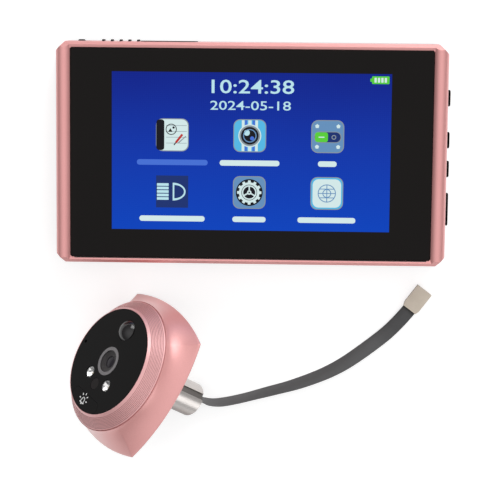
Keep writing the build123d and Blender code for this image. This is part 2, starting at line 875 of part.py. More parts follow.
def bowed_square(corner, flat, height):
    """A square with bowed sides, as four arcs that meet on the diagonals. A circle is one of them."""
    arcs = []
    for turn in range(4):
        arc = ThreePointArc((corner, -corner), (flat, 0), (corner, corner))
        arcs.append(Rot(0, 0, 90 * turn) * arc)
    return Pos(0, 0, height) * make_face(Curve() + arcs)


def flare():
    """The housing's loft from the round ring to the bowed square."""
    sections = []
    round_corner = ring_radius / math.sqrt(2)
    reach = base_depth - base_rim - ring_depth
    for index in range(flare_bands + 1):
        down = index / flare_bands
        out = down**flare_power
        corner = round_corner + (base_corner - round_corner) * out
        flat = ring_radius + (base_flat - ring_radius) * out
        sections.append(bowed_square(corner, flat, -ring_depth - reach * down))
    return loft(sections, ruled=True)


def camera_housing():
    """The flared shell: round at the trim ring, a bowed square at the door, with a plain hollow."""
    plate_depth = base_depth - back_plate_thickness
    outer = flare() + extrude(bowed_square(base_corner, base_flat, -base_depth), amount=base_rim)
    body = outer - post(housing_throat, -plate_depth - overrun, -ring_depth + overrun, sides=hidden_round_sides)
    body -= post(back_plate_radius + seat_gap, -base_depth - overrun, -plate_depth, sides=hidden_round_sides)
    boss_top = -skirt_depth - unit_board_thickness - unit_board_gap
    for x, y in corners(unit_screw_place, unit_screw_place):
        body += post(unit_boss_radius, -plate_depth, boss_top, x, y)
        body -= post(unit_screw_shank + slip, -plate_depth - overrun, unit_screw_reach - plate_depth, x, y)
    return body


def turned(points):
    """A solid of revolution from an outline of radius and height."""
    return revolve(Plane.XZ * make_face(Polyline(*points, close=True)), Axis.Z)


def grooved_ring():
    """The trim ring: a cone with concentric grooves, a ledge for the face and a skirt in the housing."""
    inner = face_radius + slip
    outer = ring_radius - ring_seam
    fall = ring_depth / (outer - inner)
    step = (outer - inner - ring_plain_inner) / ring_groove_count
    points = [(inner, 0)]
    for index in range(ring_groove_count):
        start = inner + ring_plain_inner + step * index
        points.append((start, -fall * (start - inner)))
        valley = start + step / 2
        points.append((valley, -fall * (valley - inner) - ring_groove_depth))
    points.append((outer, -ring_depth))
    points.append((0, -ring_depth))
    points.append((0, -face_thickness))
    points.append((inner, -face_thickness))
    skirt_outer = housing_throat - seat_gap
    ledge = face_radius - ring_ledge_width
    ledge_low = -face_thickness - ring_ledge_thickness
    body = turned(points) + post(skirt_outer, -skirt_depth, -ring_depth, sides=hidden_round_sides)
    body -= post(ledge, ledge_low, overrun, sides=hidden_round_sides)
    return body - loft([Pos(0, 0, ledge_low) * RegularPolygon(ledge, hidden_round_sides),
                        Pos(0, 0, -skirt_depth) * RegularPolygon(skirt_outer - ring_skirt_wall, hidden_round_sides)],
                       ruled=True)


def bell_outline(gap):
    """The button's outline in the face: a segment of the disc with its two upper corners rounded."""
    half = bell_half_width + gap
    top = bell_top_y + gap
    tall = face_radius + top
    outline = Pos(0, top - tall / 2) * Rectangle(2 * half, tall)
    upper = outline.vertices().sort_by(Axis.Y)[-2:]
    outline = fillet(upper, bell_corner + gap)
    return outline & Circle(face_radius + gap)


def face_window():
    body = rod(face_radius, -face_thickness, 0)
    low = -face_thickness - overrun
    body -= rod(eye_radius + seat_gap, low, overrun, 0, eye_y)
    body -= rod(lens_ring_outer, low, overrun)
    for x in (-led_x, led_x):
        body -= rod(led_radius + seat_gap, low, overrun, x, led_y)
    body -= rod(light_sensor_radius + seat_gap, low, overrun, 0, light_sensor_y)
    body -= post(mic_hole_radius, low, overrun, mic_x)
    body -= extrude(Pos(0, 0, low) * bell_outline(slip), amount=face_thickness + 2 * overrun)
    return body


def eye_dome():
    """The glossy dome over the motion sensor, hollow, with a flange behind the face."""
    ball = (eye_radius**2 + eye_rise**2) / (2 * eye_rise)
    lean = math.asin(eye_radius / ball)
    points = [(0, -face_thickness), (0, eye_rise)]
    for index in range(1, eye_steps + 1):
        angle = lean * index / eye_steps
        points.append((ball * math.sin(angle), eye_rise - ball * (1 - math.cos(angle))))
    points.append((eye_radius, -face_thickness))
    low = -face_thickness - eye_flange_thickness
    body = turned(points) + post(eye_radius + eye_flange, low, -face_thickness)
    return Pos(0, eye_y, 0) * (body - post(eye_radius - eye_wall, low - overrun, -eye_wall))


def motion_sensor():
    """The sensor's metal can on the board, under the dome."""
    low = -skirt_depth
    can = post(eye_can_radius, low, low + eye_can_height, 0, eye_y)
    return can + post(eye_can_radius + eye_can_flange, low, low + eye_can_flange_height, 0, eye_y)


def lens_ring():
    ring = rod(lens_ring_outer, -face_thickness, lens_ring_proud)
    return ring - rod(lens_ring_inner, -face_thickness - overrun, overrun)


def lens_glass_radius():
    return lens_ring_inner - lens_barrel_gap - lens_step_width * lens_step_count


def lens_floor():
    """Height of the foot of the last step in the lens barrel."""
    return -lens_set_back - lens_step_drop * lens_step_count


def lens_barrel():
    """The lens barrel on the board: concentric steps lead down to the front glass."""
    outer = lens_ring_inner - lens_barrel_gap
    glass = lens_glass_radius()
    foot = lens_floor() - lens_glass_edge
    points = [(0, -skirt_depth), (outer, -skirt_depth), (outer, -lens_set_back)]
    for index in range(lens_step_count):
        radius = outer - lens_step_width * (index + 1)
        points.append((radius, -lens_set_back - lens_step_drop * index))
        points.append((radius, -lens_set_back - lens_step_drop * (index + 1)))
    points[-1] = (glass, foot)
    points.append((0, foot))
    body = turned(points) - post(glass - lens_shoulder, -skirt_depth - overrun, foot + overrun)
    pocket = sensor_size + 2 * seat_gap
    return body - block(pocket, pocket, -skirt_depth - overrun, -skirt_depth + sensor_height + seat_gap)


def lens_glass():
    radius = lens_glass_radius() - seat_gap
    floor = lens_floor()
    return rod(radius, floor - lens_glass_edge, floor + lens_glass_sag)


def image_sensor():
    return block(sensor_size, sensor_size, -skirt_depth, -skirt_depth + sensor_height)


def night_lamps():
    """Two clear lamps, standing on the board."""
    return Compound([rod(led_radius, -skirt_depth, -led_set_back, x, led_y).solid() for x in (-led_x, led_x)])


def light_sensor():
    return rod(light_sensor_radius, -skirt_depth, -light_sensor_set_back, 0, light_sensor_y)


def microphone():
    x = mic_x + mic_shift
    body = post(mic_radius, -face_thickness - mic_height, -face_thickness, x)
    return body


def bell_button():
    """The bell button: a thin cap flush with the face, a block and flange behind it, and a stem."""
    cap = extrude(Pos(0, 0, -bell_cap) * bell_outline(0), amount=bell_cap)
    inside = face_radius - bell_edge_inset
    block_low = -face_thickness - seat_gap
    flange_low = block_low - bell_flange_thickness
    core = Pos(0, 0, block_low) * (bell_outline(0) & Circle(inside))
    body = cap + extrude(core, amount=-bell_cap - block_low)
    flange = Pos(0, 0, flange_low) * (bell_outline(bell_flange_reach) & Circle(inside))
    body += extrude(flange, amount=bell_flange_thickness)
    tip = bell_switch_top() + bell_travel + switch_rest
    return body + post(bell_stem_radius, tip, flange_low, 0, bell_stem_y)


def bell_switch_top():
    return -skirt_depth + bell_switch_height + bell_switch_tip


def bell_switch():
    low = -skirt_depth
    body = block(bell_switch_size, bell_switch_size, low, low + bell_switch_height, 0, bell_stem_y)
    return body + post(bell_switch_tip_radius, low, bell_switch_top(), 0, bell_stem_y)


def camera_board():
    return post(unit_board_radius, -skirt_depth - unit_board_thickness, -skirt_depth, sides=hidden_round_sides)


def ribbon_header():
    """The small connector on the back of the camera board that the ribbon starts from."""
    high = -skirt_depth - unit_board_thickness
    return block(header_width, header_depth, high - header_height, high, ribbon_shift, ribbon_offset)


def back_plate():
    high = base_depth - back_plate_thickness
    body = post(back_plate_radius, -base_depth, -high, sides=hidden_round_sides)
    neck_hole = post(tube_neck_radius + slip / 2, -base_depth - overrun, -high + overrun, sides=hidden_round_sides)
    body -= Rot(0, 0, tube_slot_angle) * neck_hole
    for x, y in corners(unit_screw_place, unit_screw_place):
        body -= post(unit_screw_shank + seat_gap, -base_depth - overrun, -high + overrun, x, y)
        body -= post(unit_screw_head + seat_gap, -base_depth - overrun, -base_depth + unit_screw_head_height, x, y)
    for x, y in tube_screw_places():
        body -= post(tube_screw_shank + slip / 2, -base_depth, -high + overrun, x, y)
    return body


def unit_screws():
    screws = []
    shoulder = -base_depth + unit_screw_head_height
    tip = -base_depth + back_plate_thickness + unit_screw_reach - seat_gap
    for x, y in corners(unit_screw_place, unit_screw_place):
        screw = post(unit_screw_head, -base_depth, shoulder, x, y) + post(unit_screw_shank, shoulder, tip, x, y)
        screws.append(screw.solid())
    return Compound(screws)


def tube_screw_places(first_angle=tube_slot_angle):
    places = []
    for index in range(tube_screw_count):
        angle = math.radians(first_angle + 360 * index / tube_screw_count)
        places.append((tube_screw_circle * math.cos(angle), tube_screw_circle * math.sin(angle)))
    return places


def mounting_tube():
    """The tube that goes through the door, with a neck and a flange in the unit and one lengthwise groove."""
    plate_top = -base_depth + back_plate_thickness
    flange_top = plate_top + tube_flange_thickness
    shoulder = -base_depth - pad_thickness - seat_gap
    body = rod(tube_radius, -tube_end_depth, shoulder)
    body = chamfer(body.faces().sort_by(Axis.Z)[0].edges(), tube_tip_chamfer)
    body += post(tube_neck_radius, shoulder, flange_top, sides=hidden_round_sides)
    body += post(tube_flange_radius, plate_top, flange_top, sides=hidden_round_sides)
    body -= rod(tube_radius - tube_wall, -tube_end_depth - overrun, flange_top + overrun)
    length = tube_end_depth - base_depth - tube_slot_start
    slot = block(tube_slot_depth + overrun, tube_slot_width, -tube_end_depth - overrun, -tube_end_depth + length,
                 tube_radius + (overrun - tube_slot_depth) / 2)
    body -= slot
    for x, y in tube_screw_places(0):
        body -= post(tube_screw_shank + slip / 2, plate_top - overrun, flange_top + overrun, x, y)
    return Rot(0, 0, tube_slot_angle) * body


def tube_screws():
    screws = []
    flange_top = -base_depth + back_plate_thickness + tube_flange_thickness
    for x, y in tube_screw_places():
        screw = post(tube_screw_head, flange_top, flange_top + tube_screw_head_height, x, y)
        screw += post(tube_screw_shank, -base_depth + seat_gap, flange_top, x, y)
        screws.append(screw.solid())
    return Compound(screws)


def door_pad():
    """The foam pad on the unit's back, round the tube."""
    low = -base_depth - pad_thickness
    body = post(pad_radius, low, -base_depth, sides=hidden_round_sides)
    return body - post(tube_radius + pad_hole_gap, low - overrun, -base_depth + overrun, sides=hidden_round_sides)


def tube_ribbon():
    """The stretch of ribbon inside the tube, from the board's connector to the tube's end."""
    start = -skirt_depth - unit_board_thickness - header_height
    return block(ribbon_width, ribbon_thickness, -tube_end_depth, start, ribbon_shift, ribbon_offset)


def unit_plane():
    """Where the unit's own frame lies: it leans on the rear edge of one side and on the tube's tip."""
    bow = base_flat - base_corner
    bow_radius = (bow**2 + base_corner**2) / (2 * bow)
    roll = math.radians(unit_roll)
    support = bow_radius - (bow_radius - base_flat) * math.cos(roll)
    tip_depth = tube_end_depth - tube_tip_chamfer
    lean = math.atan2(support - tube_radius, tip_depth - base_depth)
    heading = math.radians(unit_heading)
    out = Vector(math.cos(lean) * math.cos(heading), math.cos(lean) * math.sin(heading), math.sin(lean))
    rise = Vector(-math.sin(lean) * math.cos(heading), -math.sin(lean) * math.sin(heading), math.cos(lean))
    level = rise.cross(out)
    right = rise * math.cos(roll) - level * math.sin(roll)
    height = tip_depth * math.sin(lean) + tube_radius * math.cos(lean) + rest_gap
    return Plane(origin=(unit_x, unit_y, height), x_dir=right, z_dir=out)


# The free ribbon and its plug, in the shared frame


def ribbon_points():
    plane = unit_plane()
    start = plane.from_local_coords(Vector(ribbon_shift, ribbon_offset, -tube_end_depth))
    second = start - plane.z_dir * ribbon_exit_run
    return [start, second] + [Vector(*point) for point in ribbon_route]


def ribbon_path():
    points = ribbon_points()
    radii = []
    for before, here, after in zip(points, points[1:], points[2:]):
        run_in = here - before
        run_out = after - here
        turn = math.radians(run_in.get_angle(run_out))
        shorter = min(run_in.length, run_out.length)
        radii.append(ribbon_turn_share * shorter / math.tan(turn / 2))
    print("ribbon bend radii", [round(radius, 1) for radius in radii])
    return FilletPolyline(*points, radius=radii)


def tilt_at(length):
    """Degrees that the ribbon's width stands up from the table, so far along it."""
    pairs = list(zip(ribbon_tilt_lengths, ribbon_tilts))
    for (start, first), (end, last) in zip(pairs, pairs[1:]):
        if length <= end:
            return first + (last - first) * (length - start) / (end - start)
    return ribbon_tilts[-1]


def ribbon_cable():
    """The free ribbon: on edge where it leaves the tube, lying flat at the plug."""
    path = ribbon_path()
    total = path.length
    sections = []
    for index in range(ribbon_stations + 1):
        share = index / ribbon_stations
        along = path % share
        side = Vector(-along.Y, along.X, 0).normalized()
        over = along.cross(side)
        tilt = math.radians(tilt_at(total * share))
        wide = over * math.sin(tilt) - side * math.cos(tilt)
        plane = Plane(origin=path @ share, x_dir=wide, z_dir=along)
        sections.append(plane * Rectangle(ribbon_width, ribbon_thickness))
    body = loft(sections, ruled=True)
    print("ribbon length", round(total, 2), "volume", round(body.volume, 2),
          "section times length", round(total * ribbon_width * ribbon_thickness, 2))
    return body


def cable_plug():
    """The flat plug with sloped shoulders, and its row of small contact holes."""
    half = plug_width / 2
    neck = plug_neck_width / 2
    outline = Polyline((0, -neck), (plug_shoulder, -half), (plug_length, -half), (plug_length, half),
                       (plug_shoulder, half), (0, neck), close=True)
    middle = Vector(*ribbon_route[-1])
    last_run = middle - Vector(*ribbon_route[-2])
    heading = math.degrees(math.atan2(last_run.Y, last_run.X))
    body = extrude(Pos(0, 0, -plug_thickness / 2) * make_face(outline), amount=plug_thickness)
    for index in range(plug_pin_count):
        y = plug_pin_pitch * (index - (plug_pin_count - 1) / 2)
        hole = Box(plug_pin_depth, plug_pin_size, plug_pin_size, align=(Align.MAX, Align.CENTER, Align.CENTER))
        body -= Pos(plug_length, y, 0) * hole
    return Pos(*middle) * Rot(0, 0, heading) * body


monitor_pieces = {
    "front_frame": front_frame(),
    "front_window": front_window(),
    "display_gasket": display_gasket(),
    "display_module": display_module(),
    "display_glass": display_glass(),
    "main_board": main_board(),
    "board_chips": board_chips(),
    "board_screws": board_screws(),
    "key_switches": key_switches(),
    "power_switch": power_switch(),
    "power_slider": power_slider(),
    "speaker": speaker(),
    "usb_socket": usb_socket(),
    "card_socket": card_socket(),
    "port_flap": port_flap(),
    "camera_socket": camera_socket(),
    "rear_cover": rear_cover(),
    "battery": battery(),
    "battery_contacts": battery_contacts(),
    "battery_door": battery_door(),
    "case_screws": case_screws(),
}
for key_name, (key_place, key_length) in zip(key_names, key_places):
    monitor_pieces[key_name] = side_key(key_place, key_length)

unit_pieces = {
    "camera_housing": camera_housing(),
    "grooved_ring": grooved_ring(),
    "face_window": face_window(),
    "eye_dome": eye_dome(),
    "motion_sensor": motion_sensor(),
    "lens_ring": lens_ring(),
    "lens_barrel": lens_barrel(),
    "lens_glass": lens_glass(),
    "image_sensor": image_sensor(),
    "night_lamps": night_lamps(),
    "light_sensor": light_sensor(),
    "microphone": microphone(),
    "bell_button": bell_button(),
    "bell_switch": bell_switch(),
    "camera_board": camera_board(),
    "ribbon_header": ribbon_header(),
    "back_plate": back_plate(),
    "unit_screws": unit_screws(),
    "mounting_tube": mounting_tube(),
    "tube_screws": tube_screws(),
    "door_pad": door_pad(),
    "tube_ribbon": tube_ribbon(),
}

pieces = dict(monitor_pieces)
lie = unit_plane().location
for name, piece in unit_pieces.items():
    pieces[name] = lie * piece
pieces["ribbon_cable"] = ribbon_cable()
pieces["cable_plug"] = cable_plug()

for name, piece in pieces.items():
    export_step(piece, "parts/" + name + ".step")

print("unit axis", unit_plane().z_dir, "origin", unit_plane().origin)
print("ribbon points", [(round(p.X, 3), round(p.Y, 3), round(p.Z, 3)) for p in ribbon_points()])
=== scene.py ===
# %% [markdown]
# A peephole door camera set: an indoor monitor on its back with its screen lit, and an outdoor camera
# unit leaning beside it, its ribbon cable laid out on the table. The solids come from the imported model,
# in metres. This lesson gives them their finishes and adds what a solid model leaves out: the picture
# on the screen, the fine grooves, the clear lamps, the printed bell and the soft line of the cable.

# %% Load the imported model
import math

import bmesh
import bpy
from mathutils import Matrix, Vector


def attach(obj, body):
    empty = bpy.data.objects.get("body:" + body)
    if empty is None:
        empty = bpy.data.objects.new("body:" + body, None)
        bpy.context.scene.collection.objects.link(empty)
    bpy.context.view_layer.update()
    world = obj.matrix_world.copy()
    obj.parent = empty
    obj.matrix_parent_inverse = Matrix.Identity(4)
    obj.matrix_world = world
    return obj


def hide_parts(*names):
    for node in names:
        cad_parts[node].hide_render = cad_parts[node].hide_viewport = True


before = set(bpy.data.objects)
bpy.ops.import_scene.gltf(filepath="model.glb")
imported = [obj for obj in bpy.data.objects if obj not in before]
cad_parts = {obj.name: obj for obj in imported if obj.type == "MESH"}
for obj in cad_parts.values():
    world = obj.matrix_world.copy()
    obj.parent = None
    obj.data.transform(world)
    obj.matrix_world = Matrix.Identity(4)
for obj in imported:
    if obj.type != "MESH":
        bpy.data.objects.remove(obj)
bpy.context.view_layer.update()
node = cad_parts
mm = 0.001
bpy.ops.object.select_all(action="DESELECT")


def tell(piece):
    """Prints what a cell has made."""
    print(piece.name, len(piece.data.polygons), "faces")


def linked(name, data):
    """A new object that shows this data."""
    made = bpy.data.objects.new(name, data)
    bpy.context.collection.objects.link(made)
    return made


# %% [markdown]
# Finishes are worked out with ordinary sums. One small class holds the output of a shader node and
# turns plus, minus and times into Math nodes, so a finish reads like a recipe.

# %% Shader sums
class Value:
    """A number that changes over a surface: one output of a shader node."""

    def __init__(self, finish, out):
        self.finish = finish
        self.out = out

    def of(self, kind, other=0.0):
        """The Math node of that name, with this number and another one."""
        return self.finish.add("ShaderNodeMath", {"operation": kind}, {0: self, 1: other})

    def __add__(self, other):
        return self.of("ADD", other)

    __radd__ = __add__

    def __sub__(self, other):
        return self.of("SUBTRACT", other)

    def __rsub__(self, other):
        return self.finish.add("ShaderNodeMath", {"operation": "SUBTRACT"}, {0: other, 1: self})

    def __mul__(self, other):
        return self.of("MULTIPLY", other)

    def __gt__(self, other):
        return self.of("GREATER_THAN", other)


class Finish:
    """A material: settings that are the same all over, and nodes for what changes."""

    def __init__(self, name, tree=None, **settings):
        self.tree = tree
        if tree:
            return
        self.material = bpy.data.materials.new(name)
        self.material.use_nodes = True
        self.tree = self.material.node_tree
        self.shader = self.tree.nodes["Principled BSDF"]
        for key, value in settings.items():
            self.shader.inputs[key.replace("_", " ")].default_value = value

    def add(self, kind, settings=None, inputs=None, out=0):
        """One node with its settings, then its inputs, and the output that is asked for."""
        made = self.tree.nodes.new(kind)
        for key, value in (settings or {}).items():
            if key == "stops":
                stops = made.color_ramp.elements
                while len(stops) < len(value):
                    stops.new(1.0)
                for stop, (place, colour) in zip(stops, value):
                    stop.position = place
                    stop.color = (*colour, 1.0)
            else:
                setattr(made, key, value)
        for key, value in (inputs or {}).items():
            if isinstance(value, Value):
                self.tree.links.new(value.out, made.inputs[key])
            else:
                made.inputs[key].default_value = value
        return Value(self, made.outputs[out])

    def arrow(self, kind, first, second, out=0):
        """One Vector Math node: an arrow, or with out=1 the number that it gives."""
        return self.add("ShaderNodeVectorMath", {"operation": kind}, {0: first, 1: second}, out)

    def where(self, axis=None):
        """The place on the object in metres, or one of its three numbers."""
        place = self.add("ShaderNodeTexCoord", out=3)
        if axis is None:
            return place
        return self.add("ShaderNodeSeparateXYZ", inputs={0: place}, out="XYZ".index(axis))

    def across(self, axis):
        """U or V of the piece's own map, for a pattern that follows the surface."""
        place = self.add("ShaderNodeUVMap")
        return self.add("ShaderNodeSeparateXYZ", inputs={0: place}, out="UV".index(axis))

    def noise(self, size, detail=2.0, place=None):
        """Soft blotches about the given size across, in metres, as a number round a half."""
        inputs = {"Vector": place or self.where(), "Scale": 1 / size, "Detail": detail}
        return self.add("ShaderNodeTexNoise", inputs=inputs)

    def grains(self, size):
        """Fine flakes of the given size, each with a number of its own."""
        cells = self.add("ShaderNodeTexVoronoi", inputs={"Vector": self.where(), "Scale": 1 / size}, out=1)
        return self.add("ShaderNodeSeparateColor", inputs={0: cells})

    def ramp(self, value, *stops):
        return self.add("ShaderNodeValToRGB", {"stops": stops}, {0: value})

    def blend(self, amount, first, second):
        """Two colours mixed by an amount."""
        first, second = (tone if isinstance(tone, Value) else (*tone, 1.0) for tone in (first, second))
        return self.add("ShaderNodeMix", {"data_type": "RGBA"}, {0: amount, 6: first, 7: second}, 2)

    def feed(self, **links):
        """Joins worked-out values to the shader's inputs."""
        for key, value in links.items():
            self.tree.links.new(value.out, self.shader.inputs[key.replace("_", " ")])
        return self

    def bumps(self, height, depth):
        """A bump in metres, fed to the normal."""
        bump = self.add("ShaderNodeBump", inputs={"Height": height, "Distance": depth, "Strength": 1.0})
        return self.feed(Normal=bump)


# %% [markdown]
# The camera stands almost straight above the table, a little past the monitor's top edge, so that a
# narrow strip of the top wall shows. Its long lens keeps edges nearly parallel.

# %% Camera
camera_place = (0.013502, 0.042236, 0.599466)
camera_turn = [math.radians(angle) for angle in (-7.313, 1.399, 0.582)]
bpy.ops.object.camera_add(location=camera_place, rotation=camera_turn)
camera = bpy.context.object
camera.data.lens = 123.39
camera.data.sensor_width = 36.0
camera.data.clip_start = 0.01
bpy.context.scene.camera = camera

# %% [markdown]
# Light is plain studio light: a world that is brightest overhead, like a white ceiling, one large low
# lamp past the monitor's top edge, and a weak low one at the front that gives the bare tube its bright
# line. The table is pale and plain. What the camera and mirror-like surfaces see of it is lifted to
# white, and its soft shadow shows faintly.

# %% Light and table
scene = bpy.context.scene
scene.view_settings.view_transform = "Standard"
world = bpy.data.worlds.new("studio")
scene.world = world
world.use_nodes = True
ceiling = Finish("ceiling", world.node_tree)
direction = ceiling.add("ShaderNodeTexCoord", out=0)
steepness = ceiling.add("ShaderNodeSeparateXYZ", inputs={0: direction}, out=2)
sky = ceiling.ramp(steepness, (0.0, (0.15, 0.15, 0.15)), (0.5, (0.4, 0.4, 0.4)), (1.0, (1.2, 1.2, 1.2)))
ceiling.tree.links.new(sky.out, ceiling.tree.nodes["Background"].inputs["Color"])


def lamp(name, place, target, size, watts):
    """A square lamp that faces its target."""
    bpy.ops.object.light_add(type="AREA", location=place)
    made = bpy.context.object
    made.name = name
    made.data.size = size
    made.data.energy = watts
    made.rotation_euler = (Vector(target) - Vector(place)).to_track_quat("-Z", "Y").to_euler()


lamp("low_lamp", (0.3, 0.85, 0.42), (0.0, -0.03, 0.0), 0.6, 6.0)
lamp("front_fill", (0.55, -0.6, 0.25), (-0.03, -0.09, 0.02), 0.45, 1.1)

table_grey, lifted_grey = (0.55, 0.55, 0.55), (0.64, 0.64, 0.64)
table_drop = 0.00004
bpy.ops.mesh.primitive_plane_add(size=12.0, location=(0.0, 0.0, -table_drop))
table = bpy.context.object
table.name = "table_top"
pale = Finish("pale_table", Base_Color=(*table_grey, 1.0), Roughness=0.95, Specular_IOR_Level=0.0,
              Emission_Strength=1.0)
by_camera, by_gloss, by_glass = (pale.add("ShaderNodeLightPath", out=ray) for ray in (0, 3, 6))
seen = (by_camera + by_gloss + by_glass).of("MINIMUM", 1.0)
pale.feed(Emission_Color=pale.blend(seen, (0.0, 0.0, 0.0), lifted_grey))
table.data.materials.append(pale.material)


# %% [markdown]
# The ribbon cable is flat, 5 mm wide and 0.3 mm thick. It leaves the tube on its edge, dips to the
# table and lies down flat towards its plug. Its line is a smooth spline led by listed points, and
# the band is laid along that line, leaning less and less.

# %% Ribbon route
ribbon_route = [
    (-18.717, -87.006, 5.731), (-15.85, -88.926, 3.165), (-11.0, -89.55, 2.37), (-3.4, -88.0, 2.26),
    (5.6, -85.4, 2.35), (17.6, -82.2, 2.1), (31.0, -76.7, 1.6), (42.6, -68.4, 1.05),
    (51.1, -61.3, 1.1), (56.1, -55.05, 1.1),
]
ribbon_leans = [
    (0.0, 95.35), (5.0, 74.0), (10.0, 64.0), (21.0, 62.0), (27.0, 57.0), (33.0, 54.5), (39.0, 47.0),
    (45.5, 42.0), (52.5, 33.0), (60.0, 22.0), (68.0, 13.0), (77.0, 0.0),
]
ribbon_width, ribbon_thickness, ribbon_rim = 5.0, 0.3, 0.06


def route_points(points, resolution):
    """Points along a smooth spline with the given control points."""
    data = bpy.data.curves.new("route", "CURVE")
    data.dimensions = "3D"
    spline = data.splines.new("NURBS")
    spline.points.add(len(points) - 1)
    for spot, place in zip(spline.points, points):
        spot.co = (*(number * mm for number in place), 1.0)
    spline.order_u = 3
    spline.use_endpoint_u = True
    spline.resolution_u = resolution
    holder = linked("route", data)
    mesh = bpy.data.meshes.new_from_object(holder)
    line = [vertex.co.copy() for vertex in mesh.vertices]
    bpy.data.objects.remove(holder)
    return line


def lean_at(length):
    """Degrees that the band's width stands up from the table, so many millimetres along it."""
    for (start, first), (end, last) in zip(ribbon_leans, ribbon_leans[1:]):
        if length <= end:
            return first + (last - first) * (length - start) / (end - start)
    return ribbon_leans[-1][1]


line = route_points(ribbon_route, 8)
lengths = [0.0]
for here, after in zip(line, line[1:]):
    lengths.append(lengths[-1] + (after - here).length)
ribbon_length = lengths[-1]
print("ribbon length mm", round(ribbon_length / mm, 2))

# %% [markdown]
# A bevelled curve would twist as it bends, so the band's section is set at each point of the line.

# %% Ribbon band
def piece_from(shape, name):
    """Turns the shape's faces outwards and makes it a piece of the scene."""
    bmesh.ops.recalc_face_normals(shape, faces=shape.faces)
    mesh = bpy.data.meshes.new(name)
    shape.to_mesh(mesh)
    shape.free()
    return linked(name, mesh)


def band(name):
    """A flat strip along the line, with softened edges and a map across and along it."""
    shape = bmesh.new()
    half, edge, rim = ribbon_width / 2, ribbon_thickness / 2, ribbon_rim
    outline = [(-half + rim, -edge), (half - rim, -edge), (half, -edge + rim), (half, edge - rim),
               (half - rim, edge), (-half + rim, edge), (-half, edge - rim), (-half, -edge + rim)]
    rings = []
    for index, here in enumerate(line):
        before = line[max(index - 1, 0)]
        after = line[min(index + 1, len(line) - 1)]
        along = (after - before).normalized()
        side = Vector((-along.y, along.x, 0.0)).normalized()
        over = along.cross(side)
        lean = math.radians(lean_at(lengths[index] / mm))
        wide = over * math.sin(lean) - side * math.cos(lean)
        thick = along.cross(wide)
        rings.append([shape.verts.new(here + wide * a * mm + thick * b * mm) for a, b in outline])
    layer = shape.loops.layers.uv.new("UVMap")
    for index, (ring, following) in enumerate(zip(rings, rings[1:])):
        for corner in range(len(outline)):
            nearby = (corner + 1) % len(outline)
            face = shape.faces.new((ring[corner], ring[nearby], following[nearby], following[corner]))
            face.smooth = True
            spots = ((corner, index), (nearby, index), (nearby, index + 1), (corner, index + 1))
            for loop, (place, step) in zip(face.loops, spots):
                loop[layer].uv = (outline[place][0] / ribbon_width + 0.5, lengths[step] / ribbon_length)
    shape.faces.new(list(reversed(rings[0])))
    shape.faces.new(rings[-1])
    return piece_from(shape, name)


ribbon = band("ribbon_band")
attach(ribbon, "camera_unit")
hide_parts("ribbon_cable")

grey_film = Finish("grey_film", Roughness=0.48, Specular_IOR_Level=0.35)
lanes = (grey_film.across("U") * 60.0).of("SINE")
# Painted light along the ribbon: lighter near the tube, where the band stands on edge and faces the lamp,
# and darker towards its far end, with a random mottle over it.
painted_light_greys = grey_film.ramp(grey_film.across("V"), (0.0, (0.14, 0.14, 0.142)), (0.35, (0.078, 0.078, 0.08)),
                       (0.8, (0.09, 0.09, 0.092)), (0.9, (0.05, 0.05, 0.052)))
mottled_lit_greys = grey_film.blend(grey_film.noise(0.004) * 0.4, painted_light_greys, (0.11, 0.11, 0.112))
grey_film.feed(Base_Color=mottled_lit_greys).bumps(lanes, 0.00001)
ribbon.data.materials.append(grey_film.material)


# %% [markdown]
# The painted shells are plastic with a satin rose paint: fine flakes in a clear coat. The flakes give
# a grain about a tenth of a millimetre across and a small change of colour from flake to flake, over
# the slow blotches of sprayed paint. It is partly metallic, and more so on the monitor's frame.

# %% Rose paint
flake_size, cloud_size = 0.00013, 0.012
# Bare dark plastic. The paint is also darkened towards it as painted shade.
bare_plastic_and_shade = (0.012, 0.009, 0.009)


def rose_paint(name, light, dark, bare_and_shade_mask=None, coat=0.7, shine=0.32):
    """The paint between two of its tones. Where the mask gives more than nothing, it turns dark: bare
    plastic, and painted shade in hollows.
    """
    paint = Finish(name, Metallic=shine, Coat_Weight=coat, Coat_Roughness=0.32)
    flakes = paint.grains(flake_size)
    clouds = paint.noise(cloud_size)
    amount = (flakes - 0.5) * 0.35 + (clouds - 0.5) * 0.3 + 0.5
    colour = paint.blend(amount, dark, light)
    if bare_and_shade_mask:
        colour = paint.blend(bare_and_shade_mask(paint), colour, bare_plastic_and_shade)
    return paint.feed(Base_Color=colour, Roughness=0.36 + flakes * 0.1).bumps(flakes, 0.000002).material


def bare_inside_and_foot_shade(paint):
    """One where the frame's plastic is bare inside its walls, and where painted shade darkens the foot of
    its window groove.
    """
    side_wall, end_wall, corner_wall, window_floor = 0.0665, 0.0374, 0.101, 0.0132
    foot_start, foot_end, foot_top, foot_reach = -0.0362, -0.0353, 0.0156, 0.0605
    x, y, z = (paint.where(axis) for axis in "XYZ")
    wide, deep = x.of("ABSOLUTE"), y.of("ABSOLUTE")
    within = (side_wall - wide > 0.0) * (end_wall - deep > 0.0) * (corner_wall - wide - deep > 0.0)
    # Painted shade: at the lower end, the foot of the window groove is painted as dark as bare plastic.
    foot = (foot_end - y > 0.0) * (y - foot_start > 0.0) * (z - foot_top > 0.0) * (foot_reach - wide > 0.0)
    return (within * (window_floor - z > 0.0) + foot).of("MINIMUM", 1.0)


frame_paint = rose_paint("rose_frame", (0.82, 0.39, 0.38), (0.68, 0.295, 0.285), bare_inside_and_foot_shade, 0.5, 0.62)
shell_paint = rose_paint("rose_shell", (0.84, 0.4, 0.39), (0.7, 0.31, 0.296))


# %% [markdown]
# Everything black is a different black: the front window and the camera's face are polished and almost
# mirror smooth, the rear cover is finely textured, and the keys are matt rubber.

